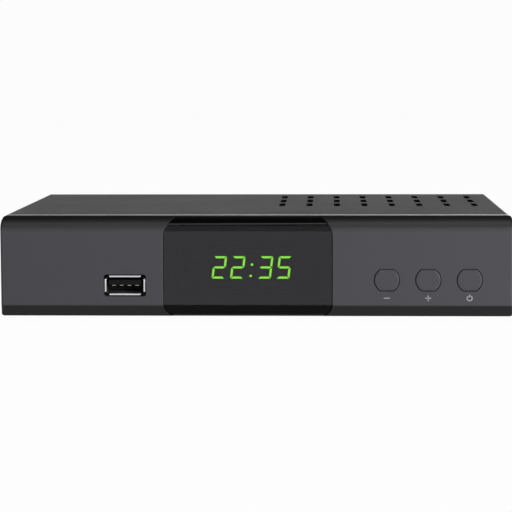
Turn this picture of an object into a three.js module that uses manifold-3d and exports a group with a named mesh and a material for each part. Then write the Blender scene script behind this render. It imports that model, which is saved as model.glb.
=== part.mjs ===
// A set-top receiver for terrestrial television: a slim box of bent sheet steel behind a moulded front.
//
// The steel tray carries the main board on four pressed standoffs, and its back wall has the cut-outs
// for the sockets. The steel cover slides over it and is held by four screws. The moulded front plugs
// into the open end of the two, holds the smoked window and the three keys, and carries a small
// upright board with the clock display, the remote control's eye and the key switches.
//
// Millimetres. +X is to the right seen from the front, +Y to the back, +Z up. Every piece is drawn with
// y = 0 on the front face and z = 0 on the table, and the last lines centre the part from front to back.

import * as THREE from "three";
import { mergeVertices } from "three/addons/utils/BufferGeometryUtils.js";
import Module from "manifold-3d";

const wasm = await Module();
wasm.setup();

// Driving dimensions

const caseWidth = 168; // across the moulded front
const caseTop = 35; // table to the top of the steel cover
const coverDepth = 99; // steel cover, front edge to back edge
const footHeight = 2; // table to the underside of the tray
const sheet = 0.8; // steel sheet
const frontWall = 2; // face of the moulded front
const boardThickness = 1.6; // both circuit boards
const windowWidth = 55.4;
const windowShift = -2.6; // middle of the window, off the middle of the front
const fitGap = 0.3; // around a piece that sits in or beside another
const snugGap = 0.1; // the same inside a small connector
const overrun = 1; // how far a cutting tool runs past what it cuts
const wayThrough = 4 * sheet; // length of a tool that goes through a sheet

// Shapes and solids

const axisX = new THREE.Vector3(1, 0, 0);
const axisY = new THREE.Vector3(0, 1, 0);
const axisZ = new THREE.Vector3(0, 0, 1);

// A closed geometry as a solid that can be joined and cut.
function solidOf(geometry) {
  const bare = geometry.clone();
  bare.deleteAttribute("normal");
  bare.deleteAttribute("uv");
  const merged = mergeVertices(bare);
  const vertProperties = merged.attributes.position.array;
  const triVerts = new Uint32Array(merged.index.array);
  return new wasm.Manifold(new wasm.Mesh({ numProp: 3, vertProperties, triVerts }));
}

function joined(solids) {
  return solids.reduce((whole, next) => whole.add(next));
}

function cutBy(solid, tools) {
  return tools.reduce((rest, tool) => rest.subtract(tool), solid);
}

// A block between two values on each axis.
function block([x0, x1], [y0, y1], [z0, z1]) {
  const geometry = new THREE.BoxGeometry(x1 - x0, y1 - y0, z1 - z0);
  geometry.translate((x0 + x1) / 2, (y0 + y1) / 2, (z0 + z1) / 2);
  return solidOf(geometry);
}

// The two values that a length reaches on either side of its middle.
function about(middle, length) {
  return [middle - length / 2, middle + length / 2];
}

// How many straight pieces half an arc is drawn with
const coarseCurve = 2;
const fineCurve = 6;

// A flat shape drawn out along an axis. It is drawn in (y, z) for "x", (x, z) for "y", (x, y) for "z".
function prism(shape, along, from, to, curveSegments = coarseCurve) {
  const geometry = new THREE.ExtrudeGeometry(shape, {
    depth: to - from,
    bevelEnabled: false,
    curveSegments,
  });
  const turned = new THREE.Matrix4();
  if (along === "x") turned.makeBasis(axisY, axisZ, axisX).setPosition(from, 0, 0);
  if (along === "y") turned.makeBasis(axisX, axisZ, axisY.clone().negate()).setPosition(0, to, 0);
  if (along === "z") turned.setPosition(0, 0, from);
  geometry.applyMatrix4(turned);
  return solidOf(geometry);
}

function circle(u, v, radius) {
  const shape = new THREE.Shape();
  shape.absarc(u, v, radius, 0, 2 * Math.PI);
  return shape;
}

function polygon(points) {
  return new THREE.Shape(points.map(([u, v]) => new THREE.Vector2(u, v)));
}

function roundedRectangle(u, v, width, height, radius) {
  const right = u + width / 2 - radius;
  const left = u - width / 2 + radius;
  const high = v + height / 2 - radius;
  const low = v - height / 2 + radius;
  const shape = new THREE.Shape();
  shape.absarc(right, low, radius, -Math.PI / 2, 0);
  shape.absarc(right, high, radius, 0, Math.PI / 2);
  shape.absarc(left, high, radius, Math.PI / 2, Math.PI);
  shape.absarc(left, low, radius, Math.PI, 1.5 * Math.PI);
  return shape;
}

// A slot with round ends, long along v.
function slot(u, v, width, length) {
  const reach = (length - width) / 2;
  const shape = new THREE.Shape();
  shape.absarc(u, v + reach, width / 2, 0, Math.PI);
  shape.absarc(u, v - reach, width / 2, Math.PI, 2 * Math.PI);
  return shape;
}

// A round bar along an axis, its middle line at (u, v) in the other two. A larger one gets more sides.
const facetLength = 1.8;
const fewestSteps = 4;
const mostSteps = 10;

function bar(along, u, v, radius, from, to) {
  const wanted = Math.round((Math.PI * radius) / facetLength);
  const steps = THREE.MathUtils.clamp(wanted, fewestSteps, mostSteps);
  return prism(circle(u, v, radius), along, from, to, steps);
}

// A solid of revolution about the Z axis from [radius, height] pairs, from the axis back to the axis.
function turnedPiece(points, sides) {
  const outline = points.map(([radius, height]) => new THREE.Vector2(radius, height));
  const geometry = new THREE.LatheGeometry(outline, sides);
  geometry.rotateX(Math.PI / 2);
  return solidOf(geometry);
}

// The finishes

function finish(color, roughness, metalness, more = {}) {
  return new THREE.MeshStandardMaterial({ color, roughness, metalness, ...more });
}

const blackSteel = finish("#4f4f4f", 0.5, 0.4);
const greyPlastic = finish("#4c4b50", 0.45, 0);
const smokedAcrylic = finish("#2c2c30", 0.12, 0);
const tinnedSteel = finish("#c9c9cb", 0.3, 1);
const nickel = finish("#b9b6ad", 0.25, 1);
const aluminium = finish("#b4b6b8", 0.45, 1);
const rubber = finish("#1b1b1b", 0.9, 0);
const greenBoard = finish("#1f5a35", 0.5, 0);
const blackPlastic = finish("#161617", 0.55, 0);
const whitePlastic = finish("#e4e1d6", 0.5, 0);
const orangePlastic = finish("#d9681e", 0.45, 0);
const chipEpoxy = finish("#202124", 0.6, 0);
const displayEpoxy = finish("#0d0f0d", 0.35, 0);
const capacitorSleeve = finish("#1c2a4a", 0.4, 0);
const zincSteel = finish("#a9a9a6", 0.35, 1);
const blackScrewSteel = finish("#2a2a2b", 0.45, 0.6);

const receiver = new THREE.Group();

function addPiece(name, solid, material, parent = receiver) {
  const made = solid.getMesh();
  const geometry = new THREE.BufferGeometry();
  geometry.setAttribute("position", new THREE.BufferAttribute(made.vertProperties, 3));
  geometry.setIndex(new THREE.BufferAttribute(made.triVerts, 1));
  geometry.computeVertexNormals();
  const mesh = new THREE.Mesh(geometry, material);
  mesh.name = name;
  parent.add(mesh);
  return mesh;
}

// Where the steel box begins and ends, from side to side, front to back and table to top

const browDepth = 7.4; // how far back the moulded front's curved top edge runs
const frontStep = 0.4; // top of the moulded front, below the top of the steel cover
const coverInset = 0.4; // steel cover, in from the side of the front

const frontTop = caseTop - frontStep;
const coverFront = browDepth + fitGap;
const coverBack = coverFront + coverDepth;
const coverHalf = caseWidth / 2 - coverInset;
const trayHalf = coverHalf - sheet - fitGap;
const trayFront = coverFront;
const trayBack = coverBack - sheet - fitGap;
const trayFloor = footHeight + sheet;

const lipLength = 4.2; // front's lip, into the steel box
const lipWall = 1.4;
const bodyBack = browDepth;
const lipBack = bodyBack + lipLength;
const lipHalf = trayHalf;
const lipLow = trayFloor + fitGap;
const lipHigh = caseTop - sheet - fitGap;

// Main board: flat on the standoffs, as wide as the tray allows

const standoffHeight = 4.5; // tray floor to the underside of the board
const mainSideGap = 5.5; // board's edge to the tray's side
const mainFront = 5.6;
const mainBackGap = 1.7; // board's edge to the back wall

const mainHalf = trayHalf - mainSideGap;
const mainBack = trayBack - sheet - mainBackGap;
const boardTop = trayFloor + standoffHeight + boardThickness;

// A place on the main board, as shares of its half width and of its depth from front to back.
function boardPlace([sideShare, depthShare]) {
  return [sideShare * mainHalf, THREE.MathUtils.lerp(mainFront, mainBack, depthShare)];
}

// Rear sockets: each middle's place, from left to right seen from the front, as a share of the board's
// half width

const antennaInputShare = -0.883;
const antennaLoopShare = -0.688;
const hdmiShare = -0.409;
const scartShare = 0.123;
const audioShare = 0.643;
const inletShare = 0.883;

const antennaInputX = antennaInputShare * mainHalf;
const antennaLoopX = antennaLoopShare * mainHalf;
const hdmiX = hdmiShare * mainHalf;
const scartX = scartShare * mainHalf;
const audioX = audioShare * mainHalf;
const inletX = inletShare * mainHalf;

// Window, USB port and keys across the front

const usbInnerWidth = 12.5;
const usbInnerHeight = 5.12;
const usbSheet = 0.3;
const usbRise = 3.25; // main board to the middle of the port
const usbHoleGap = 0.45; // front's opening, around the shell
const usbWindowGap = 5.7; // front's opening to the window
const keysPlaceShare = 0.5314; // middle key's place between the window and the side
const keyPitchShare = 0.2292; // from key to key, as a share of that room

const windowLeft = windowShift - windowWidth / 2;
const windowRight = windowShift + windowWidth / 2;
const usbOuterWidth = usbInnerWidth + 2 * usbSheet;
const usbOuterHeight = usbInnerHeight + 2 * usbSheet;
const usbHoleWidth = usbOuterWidth + 2 * usbHoleGap;
const usbHoleHeight = usbOuterHeight + 2 * usbHoleGap + 2 * usbSheet;
const usbX = windowLeft - usbWindowGap - usbHoleWidth / 2;
const usbZ = boardTop + usbRise;
const keyPitch = keyPitchShare * (caseWidth / 2 - windowRight);
const middleKeyX = THREE.MathUtils.lerp(windowRight, caseWidth / 2, keysPlaceShare);
const keyNames = ["channel_down", "channel_up", "power"];
const keyPlaces = keyNames.map((name, index) => middleKeyX + (index - 1) * keyPitch);

// Upright board behind the front, from the USB port to the right-hand side

const displayUsbGap = 0.9; // USB shell to the board's edge
const displaySideGap = 2.1; // front's lip to the board's edge
const displayLowGap = 0.9; // above the main board
const displayHighGap = 2.5; // below the front's lip
const displayFront = 12; // its front face
const displayBack = displayFront + boardThickness;
const displayLeft = usbX + usbOuterWidth / 2 + displayUsbGap;
const displayRight = lipHalf - lipWall - displaySideGap;
const displayBottom = boardTop + displayLowGap;
const displayTop = lipHigh - displayHighGap;

const keyRise = 4.2; // upright board's lower edge to the middle of the keys
const clockRise = 8; // the same, to the middle of the clock
const keyZ = displayBottom + keyRise;
const clockZ = displayBottom + clockRise;

// Moulded front: grey polystyrene, a shallow tray with a curved brow, a bevelled chin and a lip at the
// back that plugs into the steel box. The window lies in a recess that runs over brow, face and chin.

const browDrop = 4; // height of the curved top edge
const chinRise = 3.7; // height of the bevel along the bottom
const chinSet = 1.1; // how far its lower edge sits back
const frontEdgeRound = 0.9; // upright corner edges

const windowSunk = 0.45; // window's face, in from the front's face
const windowTopSunk = 0.2; // the same, on top of the brow
const windowThickness = 1.2;
const windowBack = 6.4; // where it ends on top of the brow
const windowTopRound = 7.2;
const windowBottomRound = 5;
const windowTopStraight = 7; // top of the case down to where its sides start to curve in
const windowBottomStraight = 5; // the same, from the bottom
const bedGap = 0.15; // adhesive behind the window
const bedWall = 1.4; // front's wall behind the window
const bedMargin = 2.2;

const keyRadiusShare = 0.3074; // a key's radius, as a share of the way from key to key
const keyFlatShare = 0.8554; // middle of a key to its flat top or bottom, as a share of its radius
const keyRadius = keyRadiusShare * keyPitch;
const keyHalfFlat = keyFlatShare * keyRadius;

const usbHoleRound = 0.9;

const bossRadius = 3;
const bossHoleRadius = 1.3;
const bossHoleDepth = 6;
const bossInset = 4; // in from the upright board's edges
const bossWindowGap = 9; // window to the middle boss
const bossZ = displayTop - bossInset;
const bossPlaces = [displayLeft + bossInset, windowRight + bossWindowGap, displayRight - bossInset];

const ribThickness = 1.2;
const ribDepth = 3.2;
const ribInset = 4.5; // in from the sides of the front
const ribUsbGap = 15; // middle of the USB port to the rib beside it
const ribKeyGap = 7.2; // middle of the first key to the rib beside it
const ribPlaces = [
  -caseWidth / 2 + ribInset, usbX - ribUsbGap, keyPlaces[0] - ribKeyGap, caseWidth / 2 - ribInset,
];

const hookPitch = 62;
const hookPlaces = [-hookPitch, 0, hookPitch];
const hookWidth = 6;
const hookLength = 2;
const hookSet = 1.4; // lip's root to the hook
const hookFront = bodyBack + hookSet;

const browFoot = frontTop - browDrop;
const edgeWall = caseTop - lipHigh + lipWall;

// The front's side outline in (y, z), moved in by one amount at the face and another at top and bottom.
function frontOutline(faceInset, edgeInset, back) {
  const shape = new THREE.Shape();
  const low = footHeight + edgeInset;
  shape.moveTo(back, low);
  shape.lineTo(chinSet + faceInset, low);
  shape.lineTo(faceInset, footHeight + Math.max(chinRise, edgeInset + chinSet));
  shape.lineTo(faceInset, browFoot);
  const reach = browDepth - faceInset;
  const rise = browDrop - edgeInset;
  shape.absellipse(browDepth, browFoot, reach, rise, Math.PI, Math.PI / 2, true, 0);
  shape.lineTo(back, frontTop - edgeInset);
  return shape;
}

// The window's outline seen from the front, grown by a margin. Its sides curve in at both ends.
function windowOutline(margin) {
  const left = windowLeft - margin;
  const right = windowRight + margin;
  const high = caseTop - windowTopStraight;
  const low = footHeight + windowBottomStraight;
  const topRound = windowTopRound + margin;
  const lowRound = windowBottomRound + margin;
  const shape = new THREE.Shape();
  shape.absarc(right - lowRound, low, lowRound, -Math.PI / 2, 0);
  shape.absarc(right - topRound, high, topRound, 0, Math.PI / 2);
  shape.absarc(left + topRound, high, topRound, Math.PI / 2, Math.PI);
  shape.absarc(left + lowRound, low, lowRound, Math.PI, 1.5 * Math.PI);
  return shape;
}

// A key's outline: a circle with its top and bottom cut flat, grown by a margin.
function keyOutline(x, z, margin) {
  const radius = keyRadius + margin;
  const halfFlat = keyHalfFlat + margin;
  const corner = Math.asin(halfFlat / radius);
  const shape = new THREE.Shape();
  shape.absarc(x, z, radius, -corner, corner);
  shape.absarc(x, z, radius, Math.PI - corner, Math.PI + corner);
  return shape;
}

function mouldedFront() {
  const half = caseWidth / 2;
  const plan = new THREE.Shape();
  plan.moveTo(half, bodyBack + overrun);
  plan.lineTo(-half, bodyBack + overrun);
  plan.absarc(-half + frontEdgeRound, frontEdgeRound, frontEdgeRound, Math.PI, 1.5 * Math.PI);
  plan.absarc(half - frontEdgeRound, frontEdgeRound, frontEdgeRound, 1.5 * Math.PI, 2 * Math.PI);
  const roundedPlan = prism(plan, "z", 0, caseTop + overrun);
  const outside = prism(frontOutline(0, 0, bodyBack), "x", -half, half, fineCurve).intersect(roundedPlan);
  const lip = block([-lipHalf, lipHalf], [bodyBack - overrun, lipBack], [lipLow, lipHigh]);
  const cavityHalf = lipHalf - lipWall;
  const cavity = prism(
    frontOutline(frontWall, edgeWall, lipBack + overrun), "x", -cavityHalf, cavityHalf, fineCurve);
  const shell = cutBy(joined([outside, lip]), [cavity]);

  const bedInset = windowSunk + windowThickness + bedGap;
  const bedBack = bedInset + bedWall;
  const bedLeft = windowLeft - bedMargin;
  const bedRight = windowRight + bedMargin;
  const bed = prism(frontOutline(0, 0, bodyBack), "x", bedLeft, bedRight, fineCurve).subtract(
    prism(frontOutline(bedBack, Math.min(bedBack, browDrop - snugGap), bodyBack + overrun),
      "x", bedLeft - overrun, bedRight + overrun, fineCurve));
  const recess = prism(windowOutline(fitGap), "y", -overrun, windowBack + fitGap, fineCurve).subtract(
    prism(frontOutline(bedInset, bedInset, bodyBack + overrun), "x", bedLeft, bedRight, fineCurve));
  const sight = prism(
    roundedRectangle(windowShift, clockZ, apertureWidth, apertureHeight, apertureRound), "y", 0, bodyBack);

  const bosses = bossPlaces.map((x) => bar("y", x, bossZ, bossRadius, frontWall - snugGap, displayFront));
  const bossHoles = bossPlaces.map((x) =>
    bar("y", x, bossZ, bossHoleRadius, displayFront - bossHoleDepth, displayFront + overrun));
  const ribs = ribPlaces.map((x) =>
    block(about(x, ribThickness), [frontWall - snugGap, frontWall + ribDepth],
      [footHeight + edgeWall - snugGap, lipHigh - lipWall + snugGap]));
  const hookBack = hookFront + hookLength;
  const hookPoint = footHeight + snugGap;
  const wedge = polygon([
    [hookFront, lipLow + snugGap], [hookFront, lipLow - fitGap], [hookFront + hookLength / 2, hookPoint],
    [hookBack, hookPoint], [hookBack, lipLow + snugGap],
  ]);
  const hooks = hookPlaces.map((x) => prism(wedge, "x", ...about(x, hookWidth)));
  const keyHoles = keyPlaces.map((x) =>
    prism(keyOutline(x, keyZ, fitGap), "y", -overrun, frontWall + overrun, fineCurve));
  const usbHole = prism(
    roundedRectangle(usbX, usbZ, usbHoleWidth, usbHoleHeight, usbHoleRound),
    "y", -overrun, frontWall + overrun);

  return cutBy(joined([shell, bed, ...bosses, ...ribs, ...hooks]), [
    recess, sight, ...bossHoles, ...keyHoles, usbHole,
  ]);
}

// Clock display's middle and the opening in front of it

const clockLeftGap = 13.8; // window's left side to the clock
const clockRightGap = 11.4;
const eyeInset = 8.3; // window's left side to the middle of the remote control's eye
const apertureMargin = 4.2; // window's sides to the opening behind it
const apertureHeight = 17;
const clockWidth = windowWidth - clockLeftGap - clockRightGap;
const clockX = windowLeft + clockLeftGap + clockWidth / 2;
const eyeX = windowLeft + eyeInset;
const apertureWidth = windowWidth - 2 * apertureMargin;
const apertureRound = 1.5;

addPiece("front_panel", mouldedFront(), greyPlastic);

// Window: smoked acrylic, bent over the brow with a crease below it, and over the chin down to the front's
// lower edge.

const creaseAngle = 0.47; // radians up the brow from the face
const creaseDrop = 0.6; // crease's lower end, below the foot of the brow

function windowPiece() {
  const outer = new THREE.Shape();
  const reach = browDepth - windowSunk;
  const rise = browDrop - windowTopSunk;
  outer.moveTo(browDepth, footHeight);
  outer.lineTo(chinSet + windowSunk, footHeight);
  outer.lineTo(windowSunk, footHeight + chinRise);
  outer.lineTo(windowSunk, browFoot - creaseDrop);
  outer.absellipse(browDepth, browFoot, reach, rise, Math.PI - creaseAngle, Math.PI / 2, true, 0);
  const backInset = windowSunk + windowThickness;
  const inner = frontOutline(backInset, backInset, browDepth + overrun);
  const bent = prism(outer, "x", windowLeft, windowRight, fineCurve).subtract(
    prism(inner, "x", windowLeft - overrun, windowRight + overrun, fineCurve));
  return bent.intersect(prism(windowOutline(0), "y", -overrun, windowBack, fineCurve));
}

addPiece("display_window", windowPiece(), smokedAcrylic);

// Keys: three caps in the grey of the front, each with a collar behind the face that keeps it in and a
// stem that reaches its switch.

const keyCollar = 1.2; // collar's width around the cap
const keyCollarThickness = 1;
const keyStemRadius = 1.75;
const switchRise = 3.5; // switch's body, off the upright board
const plungerStand = 1.5; // plunger, out of the switch's body
const plungerRadius = 1.75;
const plungerInside = 0.9;
const switchSide = 6;
const switchBore = 1.7;

const switchFace = displayFront - switchRise;
const plungerTip = switchFace - plungerStand;
const collarFront = frontWall + fitGap;

function keyCap(x) {
  const collarBack = collarFront + keyCollarThickness;
  const cap = prism(keyOutline(x, keyZ, 0), "y", 0, collarBack, fineCurve);
  const collar = prism(keyOutline(x, keyZ, keyCollar), "y", collarFront, collarBack, fineCurve);
  const stem = bar("y", x, keyZ, keyStemRadius, collarFront, plungerTip - fitGap);
  return joined([cap, collar, stem]);
}

function switchBody(x) {
  const body = block(about(x, switchSide), [switchFace, displayFront], about(keyZ, switchSide));
  const bore = bar("y", x, keyZ, plungerRadius + fitGap, switchFace - overrun, switchFace + switchBore);
  return body.subtract(bore);
}

keyPlaces.forEach((x, index) => {
  const name = keyNames[index];
  addPiece(`${name}_button`, keyCap(x), greyPlastic);
  addPiece(`${name}_switch`, switchBody(x), blackPlastic);
  const plunger = bar("y", x, keyZ, plungerRadius, plungerTip, switchFace + plungerInside);
  addPiece(`${name}_switch_plunger`, plunger, blackPlastic);
});

// Upright board behind the front, screwed to the three bosses

const displayScrewHole = 1.5;

function uprightBoard() {
  const plate = block(
    [displayLeft, displayRight], [displayFront, displayBack], [displayBottom, displayTop]);
  const holes = bossPlaces.map((x) =>
    bar("y", x, bossZ, displayScrewHole, displayFront - overrun, displayBack + overrun));
  return cutBy(plate, holes);
}

addPiece("display_board", uprightBoard(), greenBoard);

// Clock display: four leaning seven-segment figures and a colon behind a black mask. The segments are
// windows that stand a little proud of the mask.

const clockHeight = 12.8;
const clockFace = 3.9;
const figureHeight = 7.4;
const figurePitchShare = 0.202; // of the clock's width
const figureWidthShare = 0.705; // of the pitch
const colonShare = 0.5; // extra room for the colon, as a share of the pitch
const segmentWidth = 0.75;
const segmentGap = 0.15;
const segmentProud = 0.15;
const segmentRoot = 0.3;
const leanShare = 0.12; // sideways lean of the figures per unit of height
const colonRadius = 0.5;
const figurePitch = figurePitchShare * clockWidth;
const figureWidth = figureWidthShare * figurePitch;

// A bar with pointed ends between two points in (x, z).
function segmentOutline([x0, z0], [x1, z1]) {
  const length = Math.hypot(x1 - x0, z1 - z0);
  const along = [(x1 - x0) / length, (z1 - z0) / length];
  const across = [-along[1], along[0]];
  const tip = segmentGap;
  const shoulder = segmentGap + segmentWidth / 2;
  const place = (forward, side) => [
    x0 + along[0] * forward + across[0] * side,
    z0 + along[1] * forward + across[1] * side,
  ];
  const side = segmentWidth / 2;
  return polygon([
    place(tip, 0), place(shoulder, -side), place(length - shoulder, -side),
    place(length - tip, 0), place(length - shoulder, side), place(shoulder, side),
  ]);
}

// The ends of the seven segments of a figure, leaning to the right.
function figureSegments(middle) {
  const rise = (figureHeight - segmentWidth) / 2;
  const reach = (figureWidth - segmentWidth) / 2;
  const corner = (side, level) => {
    const up = level * rise;
    return [middle + side * reach + leanShare * up, clockZ + up];
  };
  return [
    [corner(-1, 1), corner(1, 1)],
    [corner(1, 1), corner(1, 0)],
    [corner(1, 0), corner(1, -1)],
    [corner(-1, -1), corner(1, -1)],
    [corner(-1, 0), corner(-1, -1)],
    [corner(-1, 1), corner(-1, 0)],
    [corner(-1, 0), corner(1, 0)],
  ];
}

function clockDisplay() {
  const body = block(about(clockX, clockWidth), [clockFace, displayFront], about(clockZ, clockHeight));
  const windowDepths = [clockFace - segmentProud, clockFace + segmentRoot];
  const half = (1 + colonShare) / 2;
  const figures = [-1 - half, -half, half, 1 + half].map((step) => clockX + step * figurePitch);
  const segments = figures.flatMap(figureSegments).map(([start, end]) =>
    prism(segmentOutline(start, end), "y", ...windowDepths));
  const dots = [1, -1].map((side) => {
    const z = clockZ + side * (figureHeight / 4);
    return bar("y", clockX + leanShare * (z - clockZ), z, colonRadius, ...windowDepths);
  });
  return joined([body, ...segments, ...dots]);
}

addPiece("clock_display", clockDisplay(), displayEpoxy);

// Remote control's eye: a small moulded block with a lens in front

const eyeSide = 5.4;
const eyeFace = 6.2;
const eyeLensRadius = 2;
const eyeLensSides = 12;

function remoteEye() {
  const body = block(about(eyeX, eyeSide), [eyeFace, displayFront], about(clockZ, eyeSide));
  const lens = solidOf(new THREE.SphereGeometry(eyeLensRadius, eyeLensSides, eyeLensSides / 2));
  return body.add(lens.translate([eyeX, eyeFace, clockZ]));
}

addPiece("remote_eye", remoteEye(), blackPlastic);

// Steel tray: floor, low side flanges, front flange and back wall folded from one sheet

const sideFlangeHeight = 12;
const sideFlangeSet = 0.6; // behind the front's lip
const frontFlangeHeight = 4.2;
const frontFlangeInset = 3; // in from the side flanges
const standoffRadius = 3;
const boardScrewShank = 1.3;
const pilotRadius = boardScrewShank + fitGap;
const standoffInset = 5; // in from the main board's sides
const standoffFrontInset = 27.4; // main board's front edge to the front pair
const standoffBackInset = 32; // main board's back edge to the rear pair
const standoffPlaces = [-1, 1].flatMap((side) =>
  [mainFront + standoffFrontInset, mainBack - standoffBackInset].map((y) =>
    [side * (mainHalf - standoffInset), y]));

const floorSlotWidth = 2.4;
const floorSlotLength = 14;
const floorSlotPitch = 8;
const floorSlotColumns = 9;
const floorSlotRowPitch = 22;
const floorSlotFirstRow = 36.7; // tray's front edge to the middle of the first row
const floorSlotRows = [0, 1].map((row) => trayFront + floorSlotFirstRow + row * floorSlotRowPitch);

const socketClearance = 0.4; // around each socket in the back wall
const antennaRise = 6.9; // main board to the middle of both antenna sockets
const antennaInputRadius = 5.6;
const antennaLoopRadius = 4.75;
const hdmiRise = 3.2;
const hdmiWidth = 15;
const hdmiHeight = 5.6;
const hdmiCut = 1.6; // its two cut corners
const scartRiseShare = 0.3913; // main board to the middle of the SCART socket, of the room above the board
const scartHeightShare = 0.6324; // its shroud, of the same room
const scartWidth = 47;
const scartCut = 4.5;
const audioRise = 7.4;
const audioRadius = 4.15;
const audioCollarRadius = 4.9;
const inletWidth = 9;
const inletHeight = 10.6;

const antennaZ = boardTop + antennaRise;
const hdmiZ = boardTop + hdmiRise;
const roomOverBoard = caseTop - sheet - boardTop;
const scartZ = boardTop + scartRiseShare * roomOverBoard;
const scartHeight = scartHeightShare * roomOverBoard;
const audioZ = boardTop + audioRise;
const inletZ = boardTop + inletHeight / 2;

// The D-shaped outline that is shared by a socket and its cut-out: two lower corners cut off.
function deeShape(x, z, width, height, cut, margin) {
  const half = width / 2 + margin;
  const rise = height / 2 + margin;
  return polygon([
    [x - half, z + rise], [x - half, z - rise + cut], [x - half + cut, z - rise],
    [x + half - cut, z - rise], [x + half, z - rise + cut], [x + half, z + rise],
  ]);
}

const coverScrewShank = 1.3;
const coverHoleRadius = coverScrewShank + fitGap;
const sideScrewInset = 17; // cover's back edge to the side screws
const sideScrewRise = 7;
const sideScrewY = coverBack - sideScrewInset;
const sideScrewZ = footHeight + sideScrewRise;
const rearScrewInset = 20.5; // in from the tray's sides
const rearLipGap = 1.2; // SCART socket's shroud to the fold of the cover above it
const rearLipLow = scartZ + scartHeight / 2 + rearLipGap;
const rearScrewX = trayHalf - rearScrewInset;
const rearScrewZ = (rearLipLow + caseTop) / 2;

function steelTray() {
  const flangeFront = lipBack + sideFlangeSet;
  const floor = block([-trayHalf, trayHalf], [trayFront, trayBack], [footHeight, trayFloor]);
  const backWall = block([-trayHalf, trayHalf], [trayBack - sheet, trayBack], [footHeight, lipHigh]);
  const sideFlanges = [-trayHalf, trayHalf - sheet].map((x) =>
    block([x, x + sheet], [flangeFront, trayBack], [footHeight, footHeight + sideFlangeHeight]));
  const flangeHalf = trayHalf - frontFlangeInset;
  const frontFlange = block(
    [-flangeHalf, flangeHalf], [flangeFront, flangeFront + sheet],
    [footHeight, footHeight + frontFlangeHeight]);
  const standoffs = standoffPlaces.map(([x, y]) =>
    bar("z", x, y, standoffRadius, footHeight, trayFloor + standoffHeight));

  const pilots = standoffPlaces.map(([x, y]) => bar("z", x, y, pilotRadius, 0, boardTop));
  const floorSlots = floorSlotRows.flatMap((y) =>
    [...Array(floorSlotColumns).keys()].map((column) => {
      const x = (column - (floorSlotColumns - 1) / 2) * floorSlotPitch;
      return prism(slot(x, y, floorSlotWidth, floorSlotLength), "z", ...about(trayFloor, wayThrough));
    }));
  const hookSlots = hookPlaces.map((x) =>
    block(about(x, hookWidth + 2 * fitGap),
      [hookFront - fitGap, hookFront + hookLength + fitGap], [0, lipLow]));
  const through = about(trayBack, wayThrough);
  const socketHoles = [
    bar("y", antennaInputX, antennaZ, antennaInputRadius + socketClearance, ...through),
    bar("y", antennaLoopX, antennaZ, antennaLoopRadius + socketClearance, ...through),
    prism(deeShape(hdmiX, hdmiZ, hdmiWidth, hdmiHeight, hdmiCut, socketClearance), "y", ...through),
    prism(deeShape(scartX, scartZ, scartWidth, scartHeight, scartCut, socketClearance), "y", ...through),
    bar("y", audioX, audioZ, audioCollarRadius + socketClearance, ...through),
    prism(roundedRectangle(inletX, inletZ, inletWidth + 2 * socketClearance,
      inletHeight + 2 * socketClearance, socketClearance), "y", ...through),
  ];
  const rearHoles = [-rearScrewX, rearScrewX].map((x) =>
    bar("y", x, rearScrewZ, coverHoleRadius, ...through));
  const sideHoles = [-trayHalf, trayHalf].map((x) =>
    bar("x", sideScrewY, sideScrewZ, coverHoleRadius, ...about(x, wayThrough)));

  return cutBy(joined([floor, backWall, ...sideFlanges, frontFlange, ...standoffs]), [
    ...pilots, ...floorSlots, ...hookSlots, ...socketHoles, ...rearHoles, ...sideHoles,
  ]);
}

addPiece("base_tray", steelTray(), blackSteel);

// Steel cover: top and two sides bent from one sheet, with a fold over the back wall. Short slots let
// the heat out above the processor and low on both sides.

const bendRadius = 1.5; // outside of the bends
const rearLipInset = 2.4; // fold's ends, in from the sides
const topSlotWidth = 1.9;
const topSlotLength = 12.6;
const topSlotColumns = 8;
const topSlotPitch = 9.63;
const topSlotInset = 8.6; // last column, in from the cover's side
const topSlotRowPitch = 19;
const topSlotRowInset = 18; // last row, in from the cover's back edge
const topSlotRows = 3;
const sideSlotWidth = 2;
const sideSlotLength = 11;
const sideSlotPitch = 6.5;
const sideSlotCount = 8;
const sideSlotFirst = 20; // cover's front edge to the first one
const sideSlotRise = 18; // tray to the middle of the side slots
const sideSlotZ = footHeight + sideSlotRise;

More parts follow.
